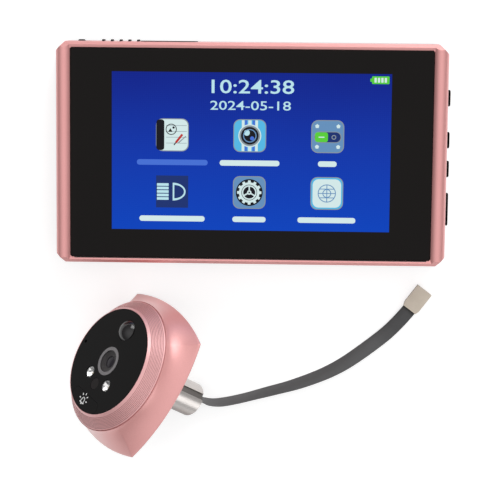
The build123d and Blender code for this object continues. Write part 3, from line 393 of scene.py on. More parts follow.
# %% Black finishes
def polished_black(name, colour, smear, shine=0.09):
    black = Finish(name, Specular_IOR_Level=shine)
    dust = black.noise(0.0009, 3.0)
    wipe = black.noise(0.03)
    tone = black.blend(wipe * 0.6, colour, tuple(number * 1.6 for number in colour))
    black.feed(Base_Color=tone, Roughness=0.06 + wipe * smear + (dust > 0.7) * 0.1)
    return black.material


def textured_black(name, colour, grain, depth, shine=0.4):
    black = Finish(name, Specular_IOR_Level=shine)
    pits = black.noise(grain, 1.0)
    wear = black.noise(0.02)
    tone = black.blend(wear * 0.5, colour, tuple(number * 1.5 for number in colour))
    return black.feed(Base_Color=tone, Roughness=0.5 + pits * 0.25).bumps(pits, depth).material


window_black = polished_black("window_black", (0.0045, 0.0035, 0.0032), 0.05)
face_black = polished_black("face_black", (0.004, 0.0036, 0.0036), 0.08, 0.05)
dome_black = polished_black("dome_black", (0.009, 0.008, 0.0085), 0.16, 0.5)
case_black = textured_black("case_black", (0.02, 0.018, 0.018), 0.0004, 0.00002)
key_black = textured_black("key_black", (0.006, 0.0055, 0.0055), 0.0002, 0.000004, 0.0)
grey_rubber = textured_black("grey_rubber", (0.07, 0.06, 0.06), 0.0003, 0.000006, 0.25)
foam_black = textured_black("foam_black", (0.012, 0.012, 0.012), 0.0005, 0.00008)
chip_black = textured_black("chip_black", (0.01, 0.01, 0.011), 0.0002, 0.000004)
lens_black = textured_black("lens_black", (0.036, 0.033, 0.034), 0.0002, 0.000004)


# %% [markdown]
# Bare metal shows how it was worked. The tube is turned, so its fine lines run round its axis; stamped
# sockets and the display's tray are rolled, so theirs run along one direction.

# %% Metals
def worked_metal(name, colour, rough, lines, depth):
    metal = Finish(name, Metallic=0.9)
    marks = metal.noise(0.0006, 2.0, metal.add("ShaderNodeMapping", inputs={0: metal.where(), 3: lines}))
    stain = metal.noise(0.009)
    tone = metal.blend(stain * 0.4 + marks * 0.2, colour, tuple(number * 0.78 for number in colour))
    return metal.feed(Base_Color=tone, Roughness=rough + marks * 0.14).bumps(marks, depth).material


tray_steel = worked_metal("tray_steel", (0.62, 0.63, 0.64), 0.3, (0.1, 4.0, 1.0), 0.000004)
socket_steel = worked_metal("socket_steel", (0.66, 0.66, 0.67), 0.24, (1.0, 0.2, 1.0), 0.000002)
screw_steel = worked_metal("screw_steel", (0.5, 0.5, 0.52), 0.3, (1.0, 1.0, 1.0), 0.000003)
contact_gold = worked_metal("contact_gold", (0.83, 0.6, 0.22), 0.25, (1.0, 1.0, 0.3), 0.000002)
lens_trim = worked_metal("lens_trim", (0.2, 0.19, 0.195), 0.34, (1.0, 1.0, 1.0), 0.000002)


# %% [markdown]
# The remaining finishes are moulded or printed: cream connectors, green boards with copper tracks
# under the lacquer, the battery's shrink film and the light sensor's smoked resin.

# %% Moulded and printed finishes
def moulded(name, colour, shade, rough):
    plastic = Finish(name, Specular_IOR_Level=0.4)
    mottle = plastic.noise(0.003, 3.0)
    plastic.feed(Base_Color=plastic.blend(mottle, colour, shade), Roughness=rough + mottle * 0.12)
    return plastic.bumps(plastic.noise(0.0003), 0.000003).material


def board_lacquer():
    board = Finish("board_green", Specular_IOR_Level=0.5)
    tracks = board.add("ShaderNodeTexBrick", {"offset": 0.37},
                       {"Vector": board.where(), "Scale": 420.0, "Mortar Size": 0.03}, out=1)
    colour = board.blend(tracks, (0.012, 0.1, 0.045), (0.03, 0.2, 0.08))
    board.feed(Base_Color=colour, Roughness=0.3 + board.noise(0.004) * 0.2).bumps(tracks, 0.00003)
    return board.material


cream_plastic = moulded("cream_plastic", (0.66, 0.585, 0.49), (0.56, 0.49, 0.4), 0.42)
battery_film = moulded("battery_film", (0.06, 0.075, 0.1), (0.05, 0.06, 0.085), 0.3)
sensor_resin = polished_black("sensor_resin", (0.0085, 0.0062, 0.006), 0.05, 0.08)
display_blue = moulded("display_blue", (0.01, 0.04, 0.22), (0.008, 0.03, 0.18), 0.2)
board_green = board_lacquer()

# %% [markdown]
# The tube is nickel-plated outside. Inside it is dull and darker, and the floor of its groove gets the
# same dark colour as painted shade, so the finish measures how far each point is from the tube's axis,
# which is the length of a cross product. The side that faces the table while the unit lies down is
# painted darker: painted shade, for the shadowed table that it reflects.

# %% Tube
lean = math.radians(36.645)
heading = math.radians(146.2)
outward = Vector((math.cos(lean) * math.cos(heading), math.cos(lean) * math.sin(heading), math.sin(lean)))
unit_origin = Vector((-0.0474, -0.06977, 0.0289068))
table_side = Vector((-math.sin(heading), math.cos(heading), 0.0))


def from_axis(finish):
    """The arrow to each point from a place on the unit's axis, and how far the point is off that axis."""
    reach = finish.arrow("SUBTRACT", finish.where(), unit_origin)
    return reach, finish.arrow("LENGTH", finish.arrow("CROSS_PRODUCT", reach, outward), (0.0, 0.0, 0.0), 1)


def plated_tube():
    bore_and_groove_shade_reach = 0.0058
    table_shade_from, table_shade_to = 0.0015, 0.0058
    lines_per_metre = 42000.0
    tube = Finish("tube_metal", Metallic=0.92)
    reach, radius = from_axis(tube)
    brushed = (tube.arrow("DOT_PRODUCT", reach, outward, 1) * lines_per_metre).of("SINE") * 0.5 + 0.5
    plating = tube.blend(tube.noise(0.006) * 0.5 + brushed * 0.15, (0.66, 0.625, 0.6), (0.5, 0.465, 0.45))
    # Painted shade: the side towards the table is painted dark, for the shadowed table that it reflects.
    table_side_shade = tube.add("ShaderNodeMapRange", {"interpolation_type": "SMOOTHSTEP"},
                       {0: tube.arrow("DOT_PRODUCT", reach, table_side, 1), 1: table_shade_from, 2: table_shade_to})
    outside = tube.blend(table_side_shade, plating, (0.16, 0.12, 0.11))
    # Dull bare metal inside the bore, and painted shade on the floor of the groove, in one dark colour.
    tube.feed(Base_Color=tube.blend(bore_and_groove_shade_reach - radius > 0.0, outside, (0.2, 0.185, 0.175)),
              Roughness=0.3 + brushed * 0.06)
    return tube.bumps(brushed, 0.000001).material


tube_metal = plated_tube()

# %% [markdown]
# The trim ring's grooves are so fine that little light reaches their floors. The ring's paint carries
# painted shade in them: it measures how far out each point is, in groove widths.

# %% Ring paint
ring_inner, ring_outer = 18.98, 23.14
grooves = 9
lip, outer_lip = 0.75, 0.25
pitch = (ring_outer - ring_inner - lip - outer_lip) / grooves


def groove_floor_shade(paint):
    """How much painted shade darkens the paint: a part in the floors of the grooves, and nothing between
    them.
    """
    middle, half_floor, darkness = 0.55, 0.17, 0.42
    radius = from_axis(paint)[1]
    turns = (radius - (ring_inner + lip) * mm) * (1 / (pitch * mm))
    off_middle = (turns.of("FRACT") - middle).of("ABSOLUTE")
    return (half_floor - off_middle > 0.0) * (turns > 0.0) * (grooves - turns > 0.0) * darkness


trim_paint = rose_paint("rose_trim", (0.84, 0.46, 0.46), (0.72, 0.37, 0.37), groove_floor_shade, 0.2)

# %% [markdown]
# Most solids need no finer form. One table says which finish each of them wears.

# %% Finishes of the solids
worn_by = (
    (frame_paint, "front_frame"), (shell_paint, "camera_housing"), (trim_paint, "grooved_ring"),
    (window_black, "front_window"), (face_black, "face_window bell_button"), (dome_black, "eye_dome"),
    (case_black, "rear_cover battery_door back_plate"), (grey_rubber, "port_flap microphone"),
    (key_black, "upper_key middle_key lower_key long_key power_slider"),
    (foam_black, "display_gasket door_pad"), (lens_black, "lens_barrel"), (lens_trim, "lens_ring"),
    (chip_black, "board_chips key_switches power_switch speaker image_sensor bell_switch"),
    (tray_steel, "display_module"), (socket_steel, "usb_socket card_socket motion_sensor"),
    (screw_steel, "case_screws board_screws unit_screws tube_screws"), (contact_gold, "battery_contacts"),
    (tube_metal, "mounting_tube"), (cream_plastic, "camera_socket ribbon_header cable_plug"),
    (battery_film, "battery"), (sensor_resin, "light_sensor"), (display_blue, "display_glass"),
    (board_green, "main_board camera_board"), (grey_film.material, "tube_ribbon"),
)
for material, names in worn_by:
    for name in names.split():
        node[name].data.materials.clear()
        node[name].data.materials.append(material)
print("finishes worn", len(worn_by))


# %% [markdown]
# Small shapes on the screen and the camera's face are cut from thin sheet: a primitive of the right
# size is added, its corners are rounded in edit mode, and it is raised by its thickness.

# %% Sheet shapes
def edit_all():
    """Opens the active piece in edit mode with all of it selected."""
    bpy.ops.object.mode_set(mode="EDIT")
    bpy.ops.mesh.select_all(action="SELECT")


def raise_sheet(thickness):
    """In edit mode, turns the flat face that is there into a solid sheet."""
    bpy.ops.mesh.select_all(action="SELECT")
    bpy.ops.mesh.extrude_region_move(TRANSFORM_OT_translate={"value": (0.0, 0.0, thickness)})
    bpy.ops.mesh.select_all(action="SELECT")
    bpy.ops.mesh.normals_make_consistent(inside=False)
    bpy.ops.object.mode_set(mode="OBJECT")


def settle(name, material):
    """Moves the active piece's place into its mesh and gives it its finish."""
    made = bpy.context.object
    made.name = name
    bpy.ops.object.transform_apply(location=True, rotation=True, scale=True)
    made.data.materials.clear()
    made.data.materials.append(material)
    made.select_set(False)
    return made


def tile(name, width, height, x, y, z, thickness, corner, material, turn=0.0):
    """A sheet with rounded corners, in millimetres."""
    bpy.ops.mesh.primitive_plane_add(size=1.0, location=(x * mm, y * mm, z * mm))
    made = bpy.context.object
    made.scale = (width * mm, height * mm, 1.0)
    bpy.ops.object.transform_apply(location=False, rotation=False, scale=True)
    edit_all()
    if corner:
        bpy.ops.mesh.bevel(offset=corner * mm, segments=5, affect="VERTICES")
    raise_sheet(thickness * mm)
    made.rotation_euler = (0.0, 0.0, math.radians(turn))
    return settle(name, material)


def flat_circle(radius, x, y, z, sides=40):
    """A flat circle, in millimetres, all selected in edit mode."""
    place = (x * mm, y * mm, z * mm)
    bpy.ops.mesh.primitive_circle_add(vertices=sides, radius=radius * mm, fill_type="NGON", location=place)
    edit_all()


def disc(name, radius, x, y, z, thickness, material, sides=40):
    flat_circle(radius, x, y, z, sides)
    raise_sheet(thickness * mm)
    return settle(name, material)


def hoop(name, radius, width, x, y, z, thickness, material):
    """A flat ring: a disc whose middle is inset and taken out."""
    flat_circle(radius, x, y, z)
    bpy.ops.mesh.inset(thickness=width * mm)
    bpy.ops.mesh.delete(type="FACE")
    raise_sheet(thickness * mm)
    return settle(name, material)


def digits(name, words, height, stretch, x, y, z, thickness, material, weight):
    """Plain numbers, centred on a place and drawn out sideways."""
    bpy.ops.object.text_add(location=(x * mm, y * mm, z * mm))
    made = bpy.context.object
    made.data.body = words
    made.data.size = height * mm / 0.7
    made.data.align_x = "CENTER"
    made.data.align_y = "CENTER"
    made.data.offset = weight * mm
    made.data.extrude = thickness * mm / 2
    made.data.resolution_u = 3
    bpy.ops.object.convert(target="MESH")
    bpy.context.object.scale = (stretch, 1.0, 1.0)
    return settle(name, material)


def around(radius, turn):
    """X and Y of a place that far from the middle, by its degrees."""
    angle = math.radians(turn)
    return radius * math.cos(angle), radius * math.sin(angle)


def gather(name, pieces):
    """Joins small pieces into one, with a finish slot for each that differs."""
    bpy.ops.object.select_all(action="DESELECT")
    for piece in pieces:
        piece.select_set(True)
    bpy.context.view_layer.objects.active = pieces[0]
    bpy.ops.object.join()
    made = bpy.context.object
    made.name = name
    bpy.ops.object.select_all(action="DESELECT")
    return made


# %% [markdown]
# The lit screen gives off its own light. Its ground is blue, deeper at the top and clearer below, with
# the faint weave of the display's rows and columns. What is shown on it glows in plain colours, a
# little mottled.

# %% Glowing finishes
unlit = (0.0, 0.0, 0.0, 1.0)


def glow(name, colour):
    """A lit part of the picture, with a faint weave and mottle."""
    lit = Finish(name, Base_Color=unlit, Roughness=0.35, Specular_IOR_Level=0.1, Emission_Strength=1.0)
    weave = (lit.where("X") * 21000.0).of("SINE") * 0.03 + lit.noise(0.002) * 0.1
    lit.feed(Emission_Color=lit.blend(weave, colour, tuple(number * 0.6 for number in colour)))
    return lit.material


def screen_ground():
    """The blue ground of the picture, by how high each point is on the lit area."""
    lit = Finish("screen_ground", Base_Color=unlit, Roughness=0.3, Specular_IOR_Level=0.05,
                 Emission_Strength=1.0)
    height = lit.where("Y") * (1 / 0.0539) + 0.48
    ground = lit.ramp(height, (0.0, (0.001, 0.053, 0.49)), (0.5, (0.0035, 0.033, 0.38)),
                      (0.88, (0.0035, 0.016, 0.26)), (1.0, (0.0035, 0.012, 0.23)))
    weave = (lit.where("X") * 9000.0).of("SINE") * 0.02 + (lit.where("Y") * 9000.0).of("SINE") * 0.02 + 0.05
    lit.feed(Emission_Color=lit.blend(weave + lit.noise(0.02) * 0.04, ground, (0.02, 0.09, 0.6)))
    return lit.material


pale_cyan = glow("pale_cyan", (0.5, 0.78, 0.85))
soft_white = glow("soft_white", (0.66, 0.82, 0.82))
lit_green = glow("lit_green", (0.1, 0.62, 0.04))
lit_blue = glow("lit_blue", (0.06, 0.16, 0.66))
sky_blue = glow("sky_blue", (0.09, 0.48, 0.78))
steel_blue = glow("steel_blue", (0.13, 0.28, 0.5))
deep_blue = glow("deep_blue", (0.01, 0.03, 0.16))
lit_black = glow("lit_black", (0.006, 0.006, 0.01))
lit_red = glow("lit_red", (0.5, 0.03, 0.03))
grey_mark = glow("grey_mark", (0.25, 0.3, 0.34))

# %% [markdown]
# The picture is a home page of six tiles in two rows, a clock and date above them, and a battery mark.
# Under each tile is a plain bar, and each has a plain sign of its kind: an album page, a round lens, a
# slide switch, a headlamp, a gear and a globe.

# %% Screen ground and clock
glass = 16.0
layer = 0.012
screen = tile("screen_picture", 95.04, 53.86, 0.0, 0.85, glass, layer, 0.0, screen_ground())
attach(screen, "monitor")


def level(rank):
    """The height of a layer of the picture, in millimetres, by its rank."""
    return glass + layer * (1 + rank)


marks = [
    digits("clock", "10:24:38", 4.55, 1.34, -0.3, 22.75, level(1), layer, pale_cyan, 0.05),
    digits("date", "2024-05-18", 3.05, 1.37, -0.3, 16.45, level(1), layer, pale_cyan, 0.02),
]
column_x = (-26.85, -0.45, 26.05)
row_y = (6.4, -13.0)
label_y = (-2.95, -22.25)
label_widths = ((24.2, 20.4, 6.4), (22.4, 11.4, 19.8))
for row in range(2):
    for column in range(3):
        finish = lit_blue if (row, column) == (0, 0) else soft_white
        marks.append(tile("label", label_widths[row][column], 1.9, column_x[column], label_y[row], level(0),
                          layer, 0.9, finish))
cell_x, cell_y = 43.5, 25.7
marks.append(tile("cell", 5.9, 2.6, cell_x + 0.2, cell_y, level(0), layer, 0.3, lit_green))
marks.append(tile("nub", 0.6, 1.1, cell_x - 3.0, cell_y, level(0), layer, 0.1, lit_green))
for index in range(4):
    bar_x = cell_x - 1.55 + 1.15 * index
    marks.append(tile("bar", 0.75, 1.6, bar_x, cell_y, level(1), layer, 0.1, soft_white))
clock_marks = gather("screen_marks", marks)
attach(clock_marks, "monitor")
tell(clock_marks)

# %% [markdown]
# Each tile is a stack of thin shapes, like cut paper. That keeps its edges crisp and needs no image.

# %% Screen tiles
class Sign:
    """One tile of the home page: thin shapes in layers, placed from its middle."""

    def __init__(self, column, row):
        self.x = column_x[column]
        self.y = row_y[row]
        self.pieces = []

    def at(self, x, y, rank):
        return self.x + x, self.y + y, level(rank)

    def tile(self, width, height, x, y, rank, corner, material, turn=0.0):
        self.pieces.append(tile("sheet", width, height, *self.at(x, y, rank), layer, corner, material, turn))

    def disc(self, radius, x, y, rank, material, sides=40):
        self.pieces.append(disc("disc", radius, *self.at(x, y, rank), layer, material, sides))

    def hoop(self, radius, width, x, y, rank, material):
        self.pieces.append(hoop("hoop", radius, width, *self.at(x, y, rank), layer, material))

    def half_disc(self, radius, x, rank, material):
        """A disc cut straight down its left side, a little drawn out to the right."""
        place = self.at(x, 0.0, rank)
        flat_circle(radius, *place)
        bpy.ops.mesh.bisect(plane_co=[number * mm for number in place], plane_no=(1.0, 0.0, 0.0),
                            clear_inner=True, use_fill=False)
        raise_sheet(layer * mm)
        bpy.context.object.scale = (1.3, 0.9, 1.0)
        self.pieces.append(settle("half_disc", material))

    def body(self, material):
        """The tile itself, with a rim."""
        self.tile(11.2, 11.2, 0.0, 0.0, 0, 2.3, grey_mark)
        self.tile(10.6, 10.6, 0.0, 0.0, 1, 2.1, material)


album = Sign(0, 0)
album.body(soft_white)
album.tile(2.7, 10.4, -4.1, 0.0, 2, 0.9, lit_black)
for index in range(4):
    album.tile(7.0, 0.16, 1.4, 3.2 - 2.0 * index, 2, 0.0, grey_mark)
album.hoop(1.9, 0.28, -0.4, 1.9, 3, lit_black)
album.disc(0.85, -0.7, 1.45, 3, lit_black, 3)
album.disc(0.4, 0.4, 2.5, 3, lit_black, 12)
album.tile(3.6, 0.75, 2.3, -1.2, 3, 0.1, lit_red, 52.0)
album.tile(1.2, 0.35, 0.9, -3.0, 3, 0.1, lit_black, 52.0)
album.tile(3.6, 0.35, 3.3, -1.6, 3, 0.1, grey_mark, 42.0)

viewer = Sign(1, 0)
viewer.body(sky_blue)
for offset, width, finish in ((-2.3, 0.9, soft_white), (2.3, 0.9, soft_white), (-1.3, 0.8, lit_blue),
                              (1.3, 0.8, lit_blue), (0.0, 1.1, soft_white)):
    viewer.tile(width, 10.5, offset, 0.0, 2, 0.0, finish)
viewer.disc(3.9, 0.0, 0.0, 3, grey_mark)
viewer.hoop(3.9, 0.35, 0.0, 0.0, 4, soft_white)
viewer.disc(3.0, 0.0, 0.0, 4, lit_black)
viewer.disc(1.0, -1.0, 1.0, 5, pale_cyan)
viewer.disc(0.7, 0.8, -0.9, 5, lit_blue)
viewer.hoop(2.3, 0.35, 0.0, 0.0, 5, steel_blue)

switch = Sign(2, 0)
switch.body(steel_blue)
for offset_x in (-3.6, 3.6):
    for offset_y in (-3.5, 3.5):
        switch.disc(0.75, offset_x, offset_y, 2, soft_white, 5)
switch.tile(9.4, 3.9, 0.0, -0.2, 2, 1.9, grey_mark)
switch.tile(8.8, 3.4, 0.0, -0.2, 3, 1.65, deep_blue)
switch.tile(4.4, 3.3, -2.1, -0.2, 4, 0.8, lit_green)
switch.tile(2.0, 0.35, -2.1, -0.2, 5, 0.1, soft_white)
switch.hoop(0.8, 0.3, 2.1, -0.2, 4, grey_mark)

headlamp = Sign(0, 1)
headlamp.tile(11.0, 11.0, 0.0, 0.0, 0, 0.0, deep_blue)
for index in range(5):
    headlamp.tile(4.0, 0.9, -3.2, 2.4 - 1.2 * index, 2, 0.1, pale_cyan)
headlamp.half_disc(3.4, 0.2, 1, pale_cyan)
headlamp.half_disc(2.55, 0.75, 2, deep_blue)

gear = Sign(1, 1)
gear.body(steel_blue)
gear.disc(4.6, 0.0, 0.0, 2, lit_black)
gear.disc(3.5, 0.0, 0.0, 3, soft_white)
for turn in range(0, 360, 30):
    gear.tile(0.9, 0.95, *around(3.7, turn), 3, 0.15, soft_white, turn)
gear.disc(2.7, 0.0, 0.0, 4, lit_black)
gear.hoop(2.5, 0.45, 0.0, 0.0, 5, soft_white)
for turn in (90, 210, 330):
    gear.tile(2.0, 0.45, *around(1.3, turn), 5, 0.0, soft_white, turn)
gear.disc(0.75, 0.0, 0.0, 6, soft_white)
gear.disc(0.3, 0.0, 0.0, 7, lit_black, 12)

globe = Sign(2, 1)
globe.body(sky_blue)
globe.tile(9.7, 9.7, 0.0, 0.0, 2, 2.0, soft_white)
for radius in (3.1, 1.5):
    globe.hoop(radius, 0.3, 0.0, 0.0, 3, steel_blue)
for offset, width in ((0.0, 5.9), (1.5, 5.2), (-1.5, 5.2)):
    globe.tile(width, 0.28, 0.0, offset, 4, 0.0, steel_blue)
globe.tile(0.28, 5.9, 0.0, 0.0, 4, 0.0, steel_blue)

signs = (album, viewer, switch, headlamp, gear, globe)
home_page = gather("screen_tiles", [piece for sign in signs for piece in sign.pieces])
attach(home_page, "monitor")
tell(home_page)

# %% [markdown]
# Five dark plugs fill the speaker slots of the top wall and bulge a little from them: painted shade,
# for the dark of the open slots. From the front they show as five small black marks along the edge.

# %% Speaker slots, painted shade
first_slot, slot_pitch, slot_count = -51.02, 3.0, 5
wall_y, slot_z = 37.65, 9.0
plugs = []
for index in range(slot_count):
    place = (first_slot + slot_pitch * index, wall_y, slot_z)
    bpy.ops.mesh.primitive_cube_add(size=1.0, location=[number * mm for number in place])
    plug = bpy.context.object
    plug.scale = (0.76 * mm, 1.7 * mm, 4.6 * mm)
    bpy.ops.object.transform_apply(location=False, rotation=False, scale=True)
    edit_all()
    bpy.ops.mesh.bevel(offset=0.15 * mm, segments=2)
    bpy.ops.object.mode_set(mode="OBJECT")
    plugs.append(settle("plug", foam_black))
slot_shade_plugs = gather("slot_shade_plugs", plugs)
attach(slot_shade_plugs, "monitor")
tell(slot_shade_plugs)

# %% [markdown]
# The side keys stand out a little further than their solids do. Each cap is a copy of its solid with
# the outer end drawn out, and it goes in with the key.

# %% Keycaps
frame_side, cap_reach = 67.2 * mm, 0.45 * mm
for name in ("upper_key", "middle_key", "lower_key", "long_key"):
    keycap = linked(name + "_cap", node[name].data.copy())
    keycap.data.transform(node[name].matrix_world)
    for vertex in keycap.data.vertices:
        if vertex.co.x > frame_side:
            vertex.co.x += cap_reach
    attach(keycap, name)
    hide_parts(name)
    tell(keycap)

# %% [markdown]
# The camera unit leans, so its small parts are made lying flat, in the unit's own directions, and then
# carried over in one move. Those directions are its way out, its right and its up, and they follow
# from its lean, its heading and its roll.

# %% The unit's directions
roll = math.radians(5.35)
rise = Vector((-math.sin(lean) * math.cos(heading), -math.sin(lean) * math.sin(heading), math.cos(lean)))
sideways = rise.cross(outward)
right = rise * math.cos(roll) - sideways * math.sin(roll)
up = outward.cross(right)
unit_place = Matrix((right, up, outward)).transposed().to_4x4()
unit_place.translation = unit_origin
print("unit out", [round(number, 4) for number in outward])


def carry(piece, body="camera_unit"):
    """Takes a piece from the unit's own frame to where the unit lies."""
    piece.data.transform(unit_place)
    piece.data.update()
    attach(piece, body)
    return piece


def soften(piece, angle=28.0):
    """Smooth shading, with the edges that turn by more than the angle left crisp."""
    bpy.ops.object.select_all(action="DESELECT")
    piece.select_set(True)
    bpy.context.view_layer.objects.active = piece
    bpy.ops.object.shade_smooth()
    bpy.ops.object.shade_smooth_by_angle(angle=math.radians(angle))
    piece.select_set(False)
    return piece


def lathe(name, profile, material, steps, x=0.0, y=0.0):
    """Spins an outline of radius and height, in millimetres, round an upright axis."""
    bpy.ops.mesh.primitive_plane_add(size=0.001)
    made = bpy.context.object
    edit_all()
    bpy.ops.mesh.merge(type="CENTER")
    bpy.ops.transform.translate(value=(profile[0][0] * mm, 0.0, profile[0][1] * mm))
    for (x0, z0), (x1, z1) in zip(profile, profile[1:]):
        step = ((x1 - x0) * mm, 0.0, (z1 - z0) * mm)
        bpy.ops.mesh.extrude_vertices_move(TRANSFORM_OT_translate={"value": step})
    bpy.ops.mesh.select_all(action="SELECT")
    bpy.ops.mesh.spin(steps=steps, angle=math.tau, center=(0.0, 0.0, 0.0), axis=(0.0, 0.0, 1.0))
    bpy.ops.mesh.select_all(action="SELECT")
    bpy.ops.mesh.remove_doubles(threshold=0.000002)
    bpy.ops.mesh.normals_make_consistent(inside=False)
    bpy.ops.object.mode_set(mode="OBJECT")
    made.location = (x * mm, y * mm, 0.0)
    return soften(settle(name, material))


def rounded_end(reach, top, drop, turn, steps):
    """The start of an outline: from the axis outwards and down, along so many degrees of an arc."""
    angles = [math.radians(turn * index / steps) for index in range(steps + 1)]
    return [(reach * math.sin(angle), top - drop * (1 - math.cos(angle))) for angle in angles]


# %% [markdown]
# The housing is one smooth moulding. It starts round under the trim ring and spreads, late and then
# fast, into a square with bowed sides. No stock shape has that form, so the outline of each level is
# worked out as four arcs, and the levels are skinned. The points crowd together beside the four ridges,
# which leaves the ridges crisp but not sharp, as a mould does. A fine groove runs round the top, beside
# the ring, and four bosses inside take the screws of the back plate.

# %% Flared shell
def bowed_ring(flat, corner, height, count=24):
    """Points round a square with bowed sides, closest together beside its four ridges."""
    middle = (2 * corner**2 - flat**2) / (2 * (corner - flat))
    radius = flat - middle
    half = math.asin(corner / radius)
    ring = []
    for turn in range(4):
        quarter = Matrix.Rotation(math.radians(90 * turn), 3, "Z")
        for index in range(count):
            angle = -half * math.cos(math.pi * index / count)
            spot = Vector((middle + radius * math.cos(angle), radius * math.sin(angle), height))
            ring.append(quarter @ spot * mm)
    return ring


def round_ring(radius, height):
    """A circle with its points at the same places, to join on to a bowed ring."""
    return bowed_ring(radius, radius / math.sqrt(2), height)


def skin(name, rings, material):
    """A closed surface over rings of points, from the first to the last and back."""
    shape = bmesh.new()
    loops = [[shape.verts.new(spot) for spot in ring] for ring in rings]
    for loop, following in zip(loops, loops[1:] + loops[:1]):
        for index in range(len(loop)):
            nearby = (index + 1) % len(loop)
            shape.faces.new((loop[index], loop[nearby], following[nearby], following[index]))
    made = piece_from(shape, name)
    made.data.materials.append(material)
    return made


top_radius, top_height = 23.5, -4.45
groove_inner, groove_outer, groove_floor = 23.16, 23.4, -5.1
side_reach, corner_reach, rim_height = 26.3, 22.2, -12.45
throat, plate_ledge, plate_radius, base = 21.9, -11.65, 24.0, -12.85
rim_round = 0.17
rounds = [(throat, plate_ledge), (throat, top_height), (groove_inner, top_height),
          (groove_inner, groove_floor), (groove_outer, groove_floor), (groove_outer, top_height - 0.05),
          (top_radius - 0.05, top_height)]
levels = [round_ring(*place) for place in rounds]
bands, flare, least = 18, 1.8, 0.012
top_corner = top_radius / math.sqrt(2)
for index in range(bands + 1):
    down = max(index / bands, least)
    out = down**flare
    side = top_radius + (side_reach - top_radius) * out
    corner = top_corner + (corner_reach - top_corner) * out
    levels.append(bowed_ring(side, corner, top_height + (rim_height - top_height) * down))
levels += [bowed_ring(side_reach, corner_reach, base + rim_round),
           bowed_ring(side_reach - rim_round, corner_reach - rim_round, base),
           round_ring(plate_radius, base), round_ring(plate_radius, plate_ledge)]
shell = [skin("shell", levels, shell_paint)]
boss_place = 20.65 / math.sqrt(2)
boss_radius, hole_radius, boss_top, hole_top = 2.2, 0.83, -8.1, -9.85
boss = [(hole_radius, plate_ledge), (boss_radius, plate_ledge), (boss_radius, boss_top), (0.0, boss_top),
        (0.0, hole_top), (hole_radius, hole_top), (hole_radius, plate_ledge)]
for x in (-boss_place, boss_place):
    for y in (-boss_place, boss_place):
        shell.append(lathe("boss", boss, shell_paint, 24, x, y))
flared_shell = carry(soften(gather("flared_shell", shell), 60.0))
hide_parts("camera_housing")
tell(flared_shell)

# %% [markdown]
# The trim ring is turned with fine grooves: a smooth lip beside the black face, then nine shallow
# valleys down the cone to its outer edge. The groove's section is drawn once and spun.

# %% Grooved ring
ring_drop, groove_depth, window_seat = 4.2, 0.2, -1.4
ring_fall = ring_drop / (ring_outer - ring_inner)
section = [(ring_inner, window_seat), (ring_inner, -0.06), (ring_inner + 0.07, 0.0),
           (ring_inner + 0.2, -0.02)]
for index in range(grooves):
    start = ring_inner + lip + pitch * index
    for share, depth in ((0.0, 0.0), (0.3, 0.0), (0.42, groove_depth), (0.68, groove_depth), (0.8, 0.0)):
        radius = start + pitch * share
        section.append((radius, -ring_fall * (radius - ring_inner) - depth))
last_land = ring_outer - outer_lip
section += [(last_land, -ring_fall * (last_land - ring_inner)), (ring_outer, -ring_drop),
            (ring_outer, top_height), (21.8, top_height), (21.8, -6.8), (20.6, -6.8), (20.6, -3.5),
            (19.4, -2.3), (17.9, -2.3), (17.9, window_seat), (ring_inner, window_seat)]
fine_ring = carry(lathe("fine_grooved_ring", section, trim_paint, 160))
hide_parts("grooved_ring")
tell(fine_ring)

# %% [markdown]
# The motion sensor looks out through a glossy black dome. Turned from a true arc it shows one clean
# reflection, as the real one does.

# %% Motion dome
dome_y = 12.2
dome_radius, dome_rise = 3.7, 2.2
ball = (dome_radius**2 + dome_rise**2) / (2 * dome_rise)
dome_turn = math.degrees(math.asin(dome_radius / ball))
section = rounded_end(ball, dome_rise, ball, dome_turn, 16)
section += [(dome_radius, -1.4), (4.3, -1.4), (4.3, -2.0), (3.1, -2.0), (3.1, -0.6), (0.0, -0.6)]
dome = carry(lathe("motion_dome", section, dome_black, 64, 0.0, dome_y))
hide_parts("eye_dome")
tell(dome)

# %% [markdown]
# Each night lamp is a clear resin bullet that fills its hole, with a bright metal cup inside and a
# small chip at its foot. From outside one sees the cup's facets through the resin, so the cup is cut
# with a few flat sides, and bright and dark patches are painted into its metal as glints. The resin
# lets light straight in.

# %% Night lamps
clear_resin = Finish("clear_resin", Base_Color=(0.9, 0.9, 0.92, 1.0), Alpha=0.16, Specular_IOR_Level=0.6,
                     Coat_Weight=0.4)
clear_resin.feed(Roughness=0.02 + clear_resin.noise(0.0008) * 0.05)
cup_metal = Finish("cup_metal", Metallic=0.9, Roughness=0.08)
# Painted glints: random bright and dark patches in the cup's colour.
painted_glints = cup_metal.noise(0.0011, 0.0)
cup_metal.feed(Base_Color=cup_metal.ramp(painted_glints, (0.36, (0.1, 0.1, 0.1)), (0.5, (0.62, 0.61, 0.6)),
                                         (0.6, (0.95, 0.94, 0.92))))
chip_yellow = moulded("chip_yellow", (0.75, 0.62, 0.3), (0.6, 0.45, 0.18), 0.4)
cup_floor = -1.9


def bullet(x, y):
    """A clear lamp with a low rounded nose."""
    radius, nose, nose_drop, foot = 2.05, 0.05, 0.3, -6.8
    profile = rounded_end(radius, nose, nose_drop, 90, 6) + [(radius, foot), (0.0, foot)]
    return lathe("bullet", profile, clear_resin.material, 40, x, y)


def cup(x, y):
    """The reflector inside a lamp, with seven flat sides and a broad foot."""
    rim, foot = -0.4, -3.0
    profile = [(1.9, rim), (1.97, rim), (1.97, foot), (0.0, foot), (0.0, cup_floor), (0.5, cup_floor),
               (1.9, rim)]
    return lathe("cup", profile, cup_metal.material, 7, x, y)


